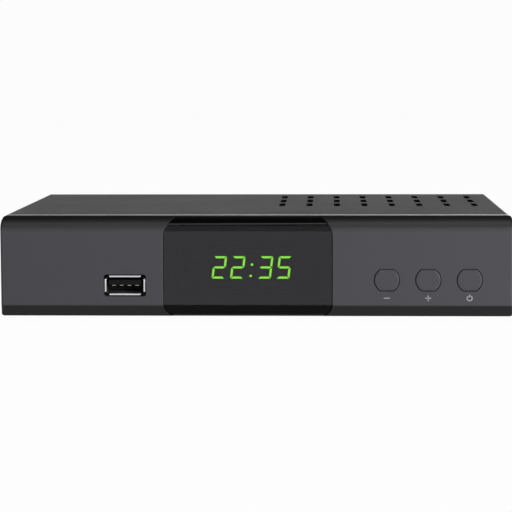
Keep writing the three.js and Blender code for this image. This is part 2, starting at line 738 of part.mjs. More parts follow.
function steelCover() {
  const bend = (radius, half, top, bottom) => {
    const shape = new THREE.Shape();
    shape.moveTo(half, bottom);
    shape.lineTo(-half, bottom);
    shape.absarc(-half + radius, top - radius, radius, Math.PI, Math.PI / 2, true);
    shape.absarc(half - radius, top - radius, radius, Math.PI / 2, 0, true);
    return shape;
  };
  const bent = prism(bend(bendRadius, coverHalf, caseTop, footHeight), "y", coverFront, coverBack);
  const hollow = prism(bend(bendRadius - sheet, coverHalf - sheet, caseTop - sheet, 0), "y",
    coverFront - overrun, coverBack + overrun);
  const lipReach = coverHalf - rearLipInset;
  const rearLip = block(
    [-lipReach, lipReach], [coverBack - sheet, coverBack], [rearLipLow, caseTop - sheet / 2]);

  const topSlots = [...Array(topSlotRows * topSlotColumns).keys()].map((index) => {
    const x = coverHalf - topSlotInset - (index % topSlotColumns) * topSlotPitch;
    const y = coverBack - topSlotRowInset - Math.floor(index / topSlotColumns) * topSlotRowPitch;
    return prism(slot(x, y, topSlotWidth, topSlotLength), "z", ...about(caseTop, wayThrough));
  });
  const sideSlots = [...Array(sideSlotCount).keys()].flatMap((index) => {
    const y = coverFront + sideSlotFirst + index * sideSlotPitch;
    return [-coverHalf, coverHalf].map((x) =>
      prism(slot(y, sideSlotZ, sideSlotWidth, sideSlotLength), "x", ...about(x, wayThrough)));
  });
  const sideHoles = [-coverHalf, coverHalf].map((x) =>
    bar("x", sideScrewY, sideScrewZ, coverHoleRadius, ...about(x, wayThrough)));
  const rearHoles = [-rearScrewX, rearScrewX].map((x) =>
    bar("y", x, rearScrewZ, coverHoleRadius, ...about(coverBack, wayThrough)));
  const shell = bent.subtract(hollow).add(rearLip);
  return cutBy(shell, [...topSlots, ...sideSlots, ...sideHoles, ...rearHoles]);
}

addPiece("top_cover", steelCover(), blackSteel);

// Screws: pan heads with a cross recess. Each is turned so that its head faces the way it is driven from.

const screwHeadRadius = 2.7;
const screwHeadHeight = 1.7;
const screwCrown = 0.5; // how much of the head is crown
const crossLength = 2.6;
const crossWidth = 0.6;
const crossDepth = 0.9;
const screwTipShare = 0.7; // flat end of the shank, as a share of its radius
const screwSides = 12;

// The head's underside is at z = 0 and the shank hangs below.
function screw(shankRadius, shankLength) {
  const blunt = turnedPiece([
    [0, -shankLength], [shankRadius * screwTipShare, -shankLength],
    [shankRadius, -shankLength + shankRadius], [shankRadius, 0],
    [screwHeadRadius, 0], [screwHeadRadius, screwHeadHeight - screwCrown],
    [screwHeadRadius - screwCrown, screwHeadHeight], [0, screwHeadHeight],
  ], screwSides);
  const depths = [screwHeadHeight - crossDepth, screwHeadHeight + overrun];
  const cross = joined([
    block(about(0, crossLength), about(0, crossWidth), depths),
    block(about(0, crossWidth), about(0, crossLength), depths),
  ]);
  return blunt.subtract(cross);
}

const boardScrewLength = 5.5;
const coverScrewLength = 5;
const displayScrewLength = 5.5;
const displayScrewShank = 1;

function addScrew(name, solid, material, [x, y, z], turn = [0, 0, 0]) {
  const mesh = addPiece(name, solid, material);
  mesh.position.set(x, y, z);
  mesh.rotation.set(...turn);
}

standoffPlaces.forEach(([x, y], index) => {
  addScrew(`board_screw_${index + 1}`, screw(boardScrewShank, boardScrewLength), zincSteel,
    [x, y, boardTop]);
});
bossPlaces.forEach((x, index) => {
  addScrew(`display_screw_${index + 1}`, screw(displayScrewShank, displayScrewLength), zincSteel,
    [x, displayBack, bossZ], [-Math.PI / 2, 0, 0]);
});
[["left", -1], ["right", 1]].forEach(([word, side]) => {
  addScrew(`cover_screw_${word}`, screw(coverScrewShank, coverScrewLength), blackScrewSteel,
    [side * coverHalf, sideScrewY, sideScrewZ], [0, side * Math.PI / 2, 0]);
  addScrew(`cover_screw_rear_${word}`, screw(coverScrewShank, coverScrewLength), blackScrewSteel,
    [side * rearScrewX, coverBack, rearScrewZ], [-Math.PI / 2, 0, 0]);
});

// Feet: four rubber pads stuck under the tray

const footRadius = 4.6;
const footFlare = 0.4; // wider at the tray
const footEdge = 0.4;
const footInset = 12; // in from the case's sides
const footFrontInset = 14.7; // tray's front edge to the front pair
const footRearInset = 12; // tray's back edge to the rear pair
const footSides = 20;

[["front", trayFront + footFrontInset], ["rear", trayBack - footRearInset]].forEach(([end, y]) => {
  [["left", -1], ["right", 1]].forEach(([word, side]) => {
    const pad = turnedPiece([
      [0, 0], [footRadius - footEdge, 0], [footRadius, footEdge],
      [footRadius + footFlare, footHeight], [0, footHeight],
    ], footSides);
    const mesh = addPiece(`foot_${end}_${word}`, pad, rubber);
    mesh.position.set(side * (caseWidth / 2 - footInset), y, 0);
  });
});

// Main board and what is soldered to it

function mainBoard() {
  const plate = block([-mainHalf, mainHalf], [mainFront, mainBack], [boardTop - boardThickness, boardTop]);
  return cutBy(plate, standoffPlaces.map(([x, y]) =>
    bar("z", x, y, pilotRadius, 0, boardTop + overrun)));
}

addPiece("main_board", mainBoard(), greenBoard);

// USB port: a folded shell with four flared lips at its mouth, and a block with the contact tongue

const usbMouth = 0.5; // mouth's place behind the front face
const usbLength = 14;
const usbLipDepth = 0.6;
const usbLipRise = 0.65; // top and bottom lips
const usbLipReach = 0.45; // side lips
const usbTopLipLength = 10.6;
const usbSideLipLength = 4.6;
const usbLegWidth = 1.6;
const usbFrontLeg = 6.4; // behind the mouth
const usbRearLeg = 11.4;
const usbTongueWidth = 11.1;
const usbTongueThickness = 1.84;
const usbTongueRise = 0.85; // tongue's middle above the port's
const usbTongueSet = 1.2; // tongue's tip behind the mouth
const usbBlockDepth = 4.6;
const usbContactWidth = 1.1;
const usbContactPitch = 2.4;
const usbContactProud = 0.25;
const usbContactSet = 0.8;

function usbShell() {
  const back = usbMouth + usbLength;
  const mouthDepths = [usbMouth, usbMouth + usbLipDepth];
  const tube = block(about(usbX, usbOuterWidth), [usbMouth, back], about(usbZ, usbOuterHeight));
  const flatLips = block(
    about(usbX, usbTopLipLength), mouthDepths, about(usbZ, usbInnerHeight + 2 * usbLipRise));
  const sideLips = block(
    about(usbX, usbInnerWidth + 2 * usbLipReach), mouthDepths, about(usbZ, usbSideLipLength));
  const legs = [usbFrontLeg, usbRearLeg].flatMap((y) => [-1, 1].map((side) =>
    block(about(usbX + side * (usbOuterWidth - usbSheet) / 2, usbSheet),
      about(usbMouth + y, usbLegWidth), [boardTop, usbZ])));
  const bore = block(
    about(usbX, usbInnerWidth), [usbMouth - overrun, back + overrun], about(usbZ, usbInnerHeight));
  return cutBy(joined([tube, flatLips, sideLips, ...legs]), [bore]);
}

function usbTongue() {
  const back = usbMouth + usbLength;
  const rear = block(about(usbX, usbInnerWidth - 2 * snugGap), [back - usbBlockDepth, back - snugGap],
    about(usbZ, usbInnerHeight - 2 * snugGap));
  const middle = usbZ + usbTongueRise;
  const tongueDepths = [usbMouth + usbTongueSet, back - usbBlockDepth + snugGap];
  const tongue = block(
    about(usbX, usbTongueWidth), tongueDepths, about(middle, usbTongueThickness));
  const underside = middle - usbTongueThickness / 2;
  const contacts = [-1.5, -0.5, 0.5, 1.5].map((step) =>
    block(about(usbX + step * usbContactPitch, usbContactWidth),
      [usbMouth + usbTongueSet + usbContactSet, back - usbBlockDepth + snugGap],
      [underside - usbContactProud, underside + usbContactProud]));
  return joined([rear, tongue, ...contacts]);
}

addPiece("usb_shell", usbShell(), tinnedSteel);
addPiece("usb_tongue", usbTongue(), blackPlastic);

// Tuner: a soldered tin box that carries both antenna sockets. The input is a socket with a split
// centre tube, the loop output a plug with a centre pin.

const tunerWidth = 28;
const tunerDepth = 25;
const tunerHeight = 13.6;
const tunerRim = 1.2;
const tunerRimStep = 0.4;
const tunerBack = mainBack;
const antennaReach = 8; // sockets, out of the back wall
const antennaFlange = 1.2;
const antennaInputWall = 0.8;
const antennaLoopWall = 0.6;
const antennaBoreDepth = 8.6;
const centreTubeRadius = 1.9;
const centreHoleRadius = 1.25;
const centreShort = 1.2; // centre contact's end, short of the rim
const loopPinRadius = 1.2;

function tunerCan() {
  const middle = (antennaInputX + antennaLoopX) / 2;
  const depths = [tunerBack - tunerDepth, tunerBack];
  const box = block(about(middle, tunerWidth), depths, [boardTop, boardTop + tunerHeight - tunerRimStep]);
  const lid = block(about(middle, tunerWidth - 2 * tunerRim),
    [depths[0] + tunerRim, depths[1] - tunerRim], [boardTop, boardTop + tunerHeight]);
  return box.add(lid);
}

function antennaSocket(x, radius, wall, centre) {
  const rim = trayBack + antennaReach;
  const boreEnd = rim - antennaBoreDepth;
  const flangeSide = 2 * antennaInputRadius;
  const flange = block(
    about(x, flangeSide), [tunerBack, tunerBack + antennaFlange], about(antennaZ, flangeSide));
  const barrel = bar("y", x, antennaZ, radius, tunerBack, rim);
  const bore = bar("y", x, antennaZ, radius - wall, boreEnd, rim + overrun);
  return flange.add(barrel).subtract(bore).add(centre(x, boreEnd - snugGap, rim - centreShort));
}

const splitTube = (x, from, to) =>
  bar("y", x, antennaZ, centreTubeRadius, from, to).subtract(
    bar("y", x, antennaZ, centreHoleRadius, from + overrun, to + overrun));
const centrePin = (x, from, to) => bar("y", x, antennaZ, loopPinRadius, from, to);

addPiece("tuner_can", tunerCan(), tinnedSteel);
addPiece("antenna_input_socket",
  antennaSocket(antennaInputX, antennaInputRadius, antennaInputWall, splitTube), nickel);
addPiece("antenna_loop_plug",
  antennaSocket(antennaLoopX, antennaLoopRadius, antennaLoopWall, centrePin), nickel);

// HDMI socket: a folded shell around a flat tongue

const hdmiSheet = 0.4;
const hdmiLength = 11.5;
const hdmiReach = 0.7; // out of the back wall
const hdmiTongueWidth = 11.4;
const hdmiTongueThickness = 1.3;
const hdmiTongueShort = 1.2;
const hdmiBlockDepth = 4.5;
const hdmiRim = trayBack + hdmiReach;

function hdmiShell() {
  const front = hdmiRim - hdmiLength;
  const outside = prism(deeShape(hdmiX, hdmiZ, hdmiWidth, hdmiHeight, hdmiCut, 0), "y", front, hdmiRim);
  const hollow = prism(deeShape(hdmiX, hdmiZ, hdmiWidth, hdmiHeight, hdmiCut, -hdmiSheet), "y",
    front - overrun, hdmiRim + overrun);
  const legs = [-1, 1].map((side) =>
    block(about(hdmiX + side * (hdmiWidth - hdmiSheet) / 2, hdmiSheet),
      [front, front + hdmiBlockDepth], [boardTop, hdmiZ]));
  return cutBy(joined([outside, ...legs]), [hollow]);
}

function hdmiTongue() {
  const front = hdmiRim - hdmiLength;
  const inset = hdmiSheet + snugGap;
  const rear = prism(deeShape(hdmiX, hdmiZ, hdmiWidth, hdmiHeight, hdmiCut, -inset), "y",
    front + snugGap, front + hdmiBlockDepth);
  const tongue = block(about(hdmiX, hdmiTongueWidth),
    [front + hdmiBlockDepth - snugGap, hdmiRim - hdmiTongueShort], about(hdmiZ, hdmiTongueThickness));
  return rear.add(tongue);
}

addPiece("hdmi_shell", hdmiShell(), tinnedSteel);
addPiece("hdmi_tongue", hdmiTongue(), blackPlastic);

// SCART socket: a moulded block with a D-shaped shroud round two rows of ten slots

const scartBlockWidth = 49;
const scartBlockDepth = 13;
const scartBlockTop = 3; // above the shroud
const scartReach = 1.4;
const scartShroud = 1.1;
const scartGroove = 1.7;
const scartGrooveDepth = 6;
const scartSlotWidth = 1.2;
const scartSlotHeightShare = 0.225; // of the shroud's height
const scartRowShare = 0.1625; // rows, above and below the middle, of the same height
const scartSlotPitch = 3.81;
const scartSlotDepth = 5;
const scartColumns = 10;

function scartSocket() {
  const inner = trayBack - sheet - fitGap;
  const rim = trayBack + scartReach;
  const body = block(about(scartX, scartBlockWidth), [inner - scartBlockDepth, inner],
    [boardTop, scartZ + scartHeight / 2 + scartBlockTop - sheet]);
  const dee = (margin, from, to) =>
    prism(deeShape(scartX, scartZ, scartWidth, scartHeight, scartCut, margin), "y", from, to);
  const nose = dee(0, inner - overrun, rim);
  const groove = dee(-scartShroud, rim - scartGrooveDepth, rim + overrun).subtract(
    dee(-scartShroud - scartGroove, 0, rim - snugGap));
  const slots = [-1, 1].flatMap((row) => [...Array(scartColumns).keys()].map((column) => {
    const x = scartX + (column - (scartColumns - 1) / 2 + row / 4) * scartSlotPitch;
    return block(about(x, scartSlotWidth), [rim - scartSlotDepth, rim + overrun],
      about(scartZ + row * scartRowShare * scartHeight, scartSlotHeightShare * scartHeight));
  }));
  return cutBy(body.add(nose), [groove, ...slots]);
}

addPiece("scart_socket", scartSocket(), blackPlastic);

// Digital audio socket: an orange moulding with a nickel barrel round it

const audioBlockWidth = 10;
const audioBlockDepth = 11;
const audioBlockTop = 12.6;
const audioReach = 8.4;
const audioWall = 0.5;
const audioHoleRadius = 1.65;
const audioCollarReach = 1.2; // collar, out of the back wall

function audioBody() {
  const inner = trayBack - sheet - fitGap;
  const rim = trayBack + audioReach;
  const body = block(about(audioX, audioBlockWidth), [inner - audioBlockDepth, inner],
    [boardTop, boardTop + audioBlockTop]);
  const collar = bar("y", audioX, audioZ, audioCollarRadius, inner - snugGap, trayBack + audioCollarReach);
  const core = bar("y", audioX, audioZ, audioRadius - audioWall - snugGap, inner - snugGap, rim - snugGap);
  const hole = bar("y", audioX, audioZ, audioHoleRadius, inner, rim + overrun);
  return cutBy(joined([body, collar, core]), [hole]);
}

function audioBarrel() {
  const from = trayBack + audioCollarReach + snugGap;
  const rim = trayBack + audioReach;
  return bar("y", audioX, audioZ, audioRadius, from, rim).subtract(
    bar("y", audioX, audioZ, audioRadius - audioWall, from - overrun, rim + overrun));
}

addPiece("audio_socket_body", audioBody(), orangePlastic);
addPiece("audio_socket_barrel", audioBarrel(), nickel);

// Power inlet: a moulded block with a round mouth and a steel pin

const inletDepth = 14;
const inletReach = 0.6;
const inletMouthRadius = 3.1;
const inletMouthDepth = 9.5;
const inletMouthRise = 0.9; // mouth's middle above the block's
const inletPinRadius = 1;
const inletPinShort = 0.8;

const inletRim = trayBack + inletReach;
const mouthEnd = inletRim - inletMouthDepth;
const mouthZ = inletZ + inletMouthRise;

function powerInlet() {
  const body = block(
    about(inletX, inletWidth), [inletRim - inletDepth, inletRim], [boardTop, boardTop + inletHeight]);
  return body.subtract(bar("y", inletX, mouthZ, inletMouthRadius, mouthEnd, inletRim + overrun));
}

function inletPin() {
  return bar("y", inletX, mouthZ, inletPinRadius, mouthEnd + snugGap, inletRim - inletPinShort);
}

addPiece("power_inlet", powerInlet(), blackPlastic);
addPiece("power_inlet_pin", inletPin(), nickel);

// Processor under its heat sink, memory, start-up memory and crystal

const processorPlaceShares = [0.44, 0.52];
const [processorX, processorY] = boardPlace(processorPlaceShares);
const processorSide = 17;
const processorHeight = 1.4;
const sinkSide = 28;
const sinkBase = 2.4;
const sinkHeight = 10;
const finCount = 9;
const finThickness = 1.2;

function heatSink() {
  const low = boardTop + processorHeight + snugGap;
  const base = block(about(processorX, sinkSide), about(processorY, sinkSide), [low, low + sinkBase]);
  const pitch = (sinkSide - finThickness) / (finCount - 1);
  const fins = [...Array(finCount).keys()].map((index) =>
    block(about(processorX - sinkSide / 2 + finThickness / 2 + index * pitch, finThickness),
      about(processorY, sinkSide), [low, low + sinkHeight]));
  return joined([base, ...fins]);
}

// A moulded chip, standing on the board.
function chip([x, y], width, depth, height) {
  return block(about(x, width), about(y, depth), [boardTop, boardTop + height]);
}

addPiece("processor",
  chip([processorX, processorY], processorSide, processorSide, processorHeight), chipEpoxy);
addPiece("heat_sink", heatSink(), aluminium);

const memoryPlaceShares = [0.08, 0.52];
const memoryWidth = 9;
const memoryDepth = 13.5;
const memoryHeight = 1.1;
addPiece("memory_chip",
  chip(boardPlace(memoryPlaceShares), memoryWidth, memoryDepth, memoryHeight), chipEpoxy);

const flashPlaceShares = [0.1, 0.36];
const flashWidth = 7.9;
const flashDepth = 5.3;
const flashHeight = 1.8;
addPiece("flash_chip",
  chip(boardPlace(flashPlaceShares), flashWidth, flashDepth, flashHeight), chipEpoxy);

const crystalPlaceShares = [-0.1, 0.68];
const crystalWidth = 11;
const crystalDepth = 4.6;
const crystalHeight = 3.4;
const crystalRound = 2.1;
const crystalCan = prism(
  roundedRectangle(...boardPlace(crystalPlaceShares), crystalWidth, crystalDepth, crystalRound),
  "z", boardTop, boardTop + crystalHeight);
addPiece("crystal", crystalCan, tinnedSteel);

// Supply parts beside the power inlet: three electrolytic capacitors, two chokes and a regulator

const capacitorRadius = 4;
const capacitorHeight = 11.4;
const capacitorGroove = 0.35;
const capacitorGrooveHeight = 1.6;
const capacitorSides = 16;
const capacitorPlaceShares = [[0.82, 0.64], [0.82, 0.49], [0.7, 0.8]];

function capacitor() {
  const grooveTop = capacitorHeight - capacitorGrooveHeight;
  return turnedPiece([
    [0, 0], [capacitorRadius, 0], [capacitorRadius, grooveTop - capacitorGroove],
    [capacitorRadius - capacitorGroove, grooveTop], [capacitorRadius, grooveTop + capacitorGroove],
    [capacitorRadius, capacitorHeight - capacitorGroove],
    [capacitorRadius - capacitorGroove, capacitorHeight], [0, capacitorHeight],
  ], capacitorSides);
}

capacitorPlaceShares.forEach((shares, index) => {
  const mesh = addPiece(`capacitor_${index + 1}`, capacitor(), capacitorSleeve);
  mesh.position.set(...boardPlace(shares), boardTop);
});

const chokeSide = 7.3;
const chokeHeight = 4.2;
const chokeRound = 1.2;
const chokePlaceShares = [[0.82, 0.35], [0.82, 0.23]];
chokePlaceShares.forEach((shares, index) => {
  const outline = roundedRectangle(...boardPlace(shares), chokeSide, chokeSide, chokeRound);
  const choke = prism(outline, "z", boardTop, boardTop + chokeHeight);
  addPiece(`choke_${index + 1}`, choke, chipEpoxy);
});

const regulatorPlaceShares = [0.62, 0.27];
const regulatorWidth = 6.6;
const regulatorDepth = 6.2;
const regulatorHeight = 2.3;
addPiece("regulator",
  chip(boardPlace(regulatorPlaceShares), regulatorWidth, regulatorDepth, regulatorHeight), chipEpoxy);

// Flat cable from the upright board down to the main board, with a plug housing at each end

const cableShift = 18.6; // off the middle of the window
const cableWidth = 15;
const cableThickness = 0.9;
const plugWidth = 18;
const plugDepth = 4.6;
const plugHeight = 5;
const upperPlugRise = 9.2; // upright board's lower edge to the middle of its plug
const lowerPlugGap = 16.4; // upright board's back to the middle of the main board's plug

const cableX = windowShift + cableShift;
const upperPlugZ = displayBottom + upperPlugRise;
const lowerPlugY = displayBack + lowerPlugGap;
const upperPlugBack = displayBack + plugDepth;
const lowerPlugTop = boardTop + plugHeight;
addPiece("cable_plug_display", block(about(cableX, plugWidth), [displayBack, upperPlugBack],
  about(upperPlugZ, plugHeight)), whitePlastic);
addPiece("cable_plug_main", block(about(cableX, plugWidth), about(lowerPlugY, plugDepth),
  [boardTop, lowerPlugTop]), whitePlastic);

function flatCable() {
  const half = cableThickness / 2;
  const start = upperPlugBack + snugGap;
  const end = lowerPlugTop + snugGap;
  const outerReach = lowerPlugY + half - start;
  const innerReach = lowerPlugY - half - start;
  const outerRise = upperPlugZ + half - end;
  const innerRise = upperPlugZ - half - end;
  const shape = new THREE.Shape();
  shape.absellipse(start, end, outerReach, outerRise, Math.PI / 2, 0, true, 0);
  shape.absellipse(start, end, innerReach, innerRise, 0, Math.PI / 2, false, 0);
  return prism(shape, "x", ...about(cableX, cableWidth), fineCurve);
}

addPiece("flat_cable", flatCable(), whitePlastic);

// The part's origin is under its middle, on the table

const deepest = trayBack + Math.max(antennaReach, audioReach);
receiver.position.y = -deepest / 2;

export default receiver;
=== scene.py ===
import math
import bmesh
import bpy
from mathutils import Euler, Matrix, Vector


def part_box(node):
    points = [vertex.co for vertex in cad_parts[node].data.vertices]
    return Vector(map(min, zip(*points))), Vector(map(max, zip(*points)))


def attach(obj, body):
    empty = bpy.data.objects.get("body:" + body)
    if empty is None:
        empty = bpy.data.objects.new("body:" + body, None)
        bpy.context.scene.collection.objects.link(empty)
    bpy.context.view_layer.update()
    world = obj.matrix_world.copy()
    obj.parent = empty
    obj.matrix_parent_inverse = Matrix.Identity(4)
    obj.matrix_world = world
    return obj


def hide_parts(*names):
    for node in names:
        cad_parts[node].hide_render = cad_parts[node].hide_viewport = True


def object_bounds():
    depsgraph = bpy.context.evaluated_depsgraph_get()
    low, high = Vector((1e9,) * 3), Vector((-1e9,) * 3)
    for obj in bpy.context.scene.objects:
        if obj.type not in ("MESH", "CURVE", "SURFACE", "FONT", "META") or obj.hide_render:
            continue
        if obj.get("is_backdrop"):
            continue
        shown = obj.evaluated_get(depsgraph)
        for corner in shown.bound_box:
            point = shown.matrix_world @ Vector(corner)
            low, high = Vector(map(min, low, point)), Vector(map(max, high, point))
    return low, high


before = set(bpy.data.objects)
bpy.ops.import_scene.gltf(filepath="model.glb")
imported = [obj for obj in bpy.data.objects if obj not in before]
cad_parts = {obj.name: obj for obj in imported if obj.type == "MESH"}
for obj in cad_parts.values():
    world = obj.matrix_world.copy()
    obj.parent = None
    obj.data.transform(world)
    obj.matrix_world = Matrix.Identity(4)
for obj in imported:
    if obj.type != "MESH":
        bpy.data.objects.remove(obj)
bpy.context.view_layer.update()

# Steel tray
# Sheet steel 0.8 mm thick, punched flat, folded up at both sides and the back, and powder coated black.
# Its back wall has the cut-outs for the sockets, and four pressed standoffs carry the main board.

MM = 0.001
SHEET = 0.8
COATED_RIM = 0.14  # rounding of a cut edge under its coat
COATED_RIM_STEPS = 2
FOLD_STEPS = 6
CURVE_STEP = 0.5  # longest straight piece in a curve
FEWEST_STEPS = 3
ROUND_STEPS = 40
WELD_REACH = 1e-4
SHARP_ANGLE = math.radians(35)
SOFTEN_ANGLE = math.radians(30)
SOFTEN_STEPS = 2


def box_mm(node):
    """The lowest and highest corners of a CAD node, in millimetres."""
    low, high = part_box(node)
    return low / MM, high / MM


def middle_mm(node):
    """The middle of a CAD node, in millimetres."""
    low, high = box_mm(node)
    return (low + high) / 2


def corners_of(points):
    """Round the corners of an outline of (x, y, radius) points that runs anticlockwise."""
    corners = []
    for before, (x, y, radius), after in zip(points[-1:] + points[:-1], points, points[1:] + points[:1]):
        come = Vector((x - before[0], y - before[1])).normalized()
        leave = Vector((after[0] - x, after[1] - y)).normalized()
        turn = math.atan2(come.x * leave.y - come.y * leave.x, come.dot(leave))
        start = Vector((x, y)) - come * radius * math.tan(abs(turn) / 2)
        centre = start + Vector((-come.y, come.x)) * math.copysign(radius, turn)
        begin = math.atan2(start.y - centre.y, start.x - centre.x)
        corners.append((*centre, radius, begin, begin + turn))
    return corners


def even_corners(points, radius):
    """Round the corners of an outline of (x, y) points alike."""
    return corners_of([(x, y, radius) for x, y in points])


def mirror_corners(half):
    """Round the corners of an outline from the (x, y, radius) points of its right half."""
    return corners_of(half + [(-x, y, radius) for x, y, radius in reversed(half)])


def rectangle(x, y, width, height, radius):
    """The corners of a rectangle about (x, y)."""
    right, left, high, low = x + width / 2, x - width / 2, y + height / 2, y - height / 2
    return even_corners([(right, low), (right, high), (left, high), (left, low)], radius)


def circle(x, y, radius):
    """The corners of a circle about (x, y)."""
    return [(x, y, radius, 0, math.pi), (x, y, radius, math.pi, 2 * math.pi)]


def dee(x, y, width, height, cut, radius, margin=0):
    """The corners of a rectangle with its two lower corners cut off, grown by a margin."""
    right, left = x + width / 2 + margin, x - width / 2 - margin
    high, low = y + height / 2 + margin, y - height / 2 - margin
    return even_corners([(right - cut, low), (right, low + cut), (right, high), (left, high),
                         (left, low + cut), (left + cut, low)], radius)


def draw_loop(shape, corners):
    """Draw a closed outline anticlockwise from corners of (x, y, radius, begin, end). Each vertex keeps the
    way that is out. Returns its vertices."""
    outward = shape.verts.layers.float_vector["outward"]
    ring, ends = [], []
    for x, y, radius, begin, end in corners:
        centre = Vector((x, y, 0))
        count = len(shape.verts)
        first = shape.verts.new(centre + Vector((math.cos(begin), math.sin(begin), 0)) * radius)
        steps = max(FEWEST_STEPS, math.ceil(radius * abs(end - begin) / CURVE_STEP))
        last = bmesh.ops.spin(shape, geom=[first], cent=centre, axis=(0, 0, 1), angle=end - begin,
                              steps=steps)["geom_last"][0]
        arc = list(shape.verts)[count:]
        for vert in arc:
            vert[outward] = (vert.co - centre).normalized() * math.copysign(1, end - begin)
        ring += arc
        ends += [first, last]
    for last, first in zip(ends[1::2], ends[2::2] + ends[:1]):
        shape.edges.new((last, first))
    bmesh.ops.remove_doubles(shape, verts=ring, dist=WELD_REACH)
    return [vert for vert in ring if vert.is_valid]


def ring_edges(ring):
    """The edges between the vertices of a ring."""
    members = set(ring)
    near = dict.fromkeys(edge for vert in ring for edge in vert.link_edges)
    return [edge for edge in near if members.issuperset(edge.verts)]


def draw_down(shape, ring, spread, drop):
    """Draw a ring of vertices out into a wall below it. Returns the lower ring."""
    outward = shape.verts.layers.float_vector["outward"]
    drawn = bmesh.ops.extrude_edge_only(shape, edges=ring_edges(ring))["geom"]
    lower = [item for item in drawn if isinstance(item, bmesh.types.BMVert)]
    for vert in lower:
        vert.co += vert[outward] * spread - Vector((0, 0, drop))
    return lower


def draw_wall(shape, corners, side, depth, rim, low_rim=0, rim_steps=3, settle=None):
    """Draw the wall of an outline (side -1) or a hole (side 1), with rounded rims. Returns the edges of its
    upper and lower ends."""
    outward = shape.verts.layers.float_vector["outward"]
    ring = draw_loop(shape, corners)
    if settle:
        settle(ring)
    for vert in ring:
        vert.co += vert[outward] * side * rim
    top = ring_edges(ring)
    turns = [math.pi / 2 * step / rim_steps for step in range(rim_steps + 1)]
    arcs = [(math.sin(end) - math.sin(begin), math.cos(begin) - math.cos(end))
            for begin, end in zip(turns, turns[1:])]
    for across, down in arcs if rim else []:
        ring = draw_down(shape, ring, -side * rim * across, rim * down)
    ring = draw_down(shape, ring, 0, depth - rim - low_rim)
    for down, across in arcs if low_rim else []:
        ring = draw_down(shape, ring, side * low_rim * across, low_rim * down)
    return top, ring_edges(ring)


def new_shape():
    """An empty shape whose vertices can keep the way that is out."""
    shape = bmesh.new()
    shape.verts.layers.float_vector.new("outward")
    return shape


def add_sheet(shape, outline, holes, depth, rim, low_rim=0, rim_steps=3, settle=None):
    """Add a flat plate under z = 0: an outline and holes, each a list of corners. Returns its vertices."""
    count = len(shape.verts)
    walls = [draw_wall(shape, outline, -1, depth, rim, low_rim, rim_steps, settle)]
    walls += [draw_wall(shape, hole, 1, depth, rim, low_rim, rim_steps, settle) for hole in holes]
    for ends in zip(*walls):
        bmesh.ops.triangle_fill(shape, edges=[edge for end in ends for edge in end], use_beauty=True)
    return list(shape.verts)[count:]


def add_turned(shape, points, closed=False, steps=ROUND_STEPS):
    """Add a solid spun round the Z axis from (radius, height) points. Returns its vertices."""
    count = len(shape.verts)
    line = [shape.verts.new((radius, 0, height)) for radius, height in points]
    pairs = zip(line, line[1:] + line[:1]) if closed else zip(line, line[1:])
    edges = [shape.edges.new(pair) for pair in pairs]
    bmesh.ops.spin(shape, geom=line + edges, axis=(0, 0, 1), angle=2 * math.pi, steps=steps, use_merge=True)
    bmesh.ops.remove_doubles(shape, verts=list(shape.verts)[count:], dist=WELD_REACH)
    return list(shape.verts)[count:]


def add_block(shape, low, high):
    """Add a block between two corners. Returns its vertices."""
    low, high = Vector(low), Vector(high)
    made = bmesh.ops.create_cube(shape, size=1)["verts"]
    bmesh.ops.scale(shape, vec=high - low, verts=made)
    bmesh.ops.translate(shape, vec=(low + high) / 2, verts=made)
    return made


FACING = {
    "up": Matrix.Identity(3), "down": Matrix(((-1, 0, 0), (0, 1, 0), (0, 0, -1))),
    "back": Matrix(((-1, 0, 0), (0, 0, 1), (0, 1, 0))), "front": Matrix(((1, 0, 0), (0, 0, -1), (0, 1, 0))),
    "right": Matrix(((0, 0, 1), (1, 0, 0), (0, 1, 0))), "left": Matrix(((0, 0, -1), (-1, 0, 0), (0, 1, 0)))}


def put(shape, verts, spot, facing="up"):
    """Turn vertices that were drawn facing up so that they face another way, and move them to a spot."""
    bmesh.ops.rotate(shape, matrix=FACING[facing], verts=verts)
    bmesh.ops.translate(shape, vec=spot, verts=verts)


def cut_at(shape, axis, level):
    """Cut every face where one coordinate has a value."""
    normal = Vector([index == axis for index in range(3)])
    geometry = shape.verts[:] + shape.edges[:] + shape.faces[:]
    bmesh.ops.bisect_plane(shape, geom=geometry, plane_co=normal * level, plane_no=normal)


def fold_down(shape, axis, place, radius, picked):
    """Fold down by a right angle what lies past a line. The radius is that of the outside of the bend."""
    side = math.copysign(1, place)
    arc = radius * math.pi / 2
    for step in range(FOLD_STEPS + 1):
        cut_at(shape, axis, place + side * arc * step / FOLD_STEPS)
    for vert in shape.verts:
        past = side * (vert.co[axis] - place)
        if past > 0 and picked(vert.co):
            turn = min(past / radius, math.pi / 2)
            reach = radius + vert.co.z
            vert.co[axis] = place + side * reach * math.sin(turn)
            vert.co.z = reach * math.cos(turn) - radius - max(past - arc, 0)


def soften_edges(piece, width):
    """Round the edges of an object by a width in millimetres."""
    bevel = piece.modifiers.new("soft_edges", "BEVEL")
    bevel.width = width * MM
    bevel.segments = SOFTEN_STEPS
    bevel.limit_method = "ANGLE"
    bevel.angle_limit = SOFTEN_ANGLE


def add_object(name, data):
    """Add an object to the scene."""
    made = bpy.data.objects.new(name, data)
    bpy.context.scene.collection.objects.link(made)
    return made


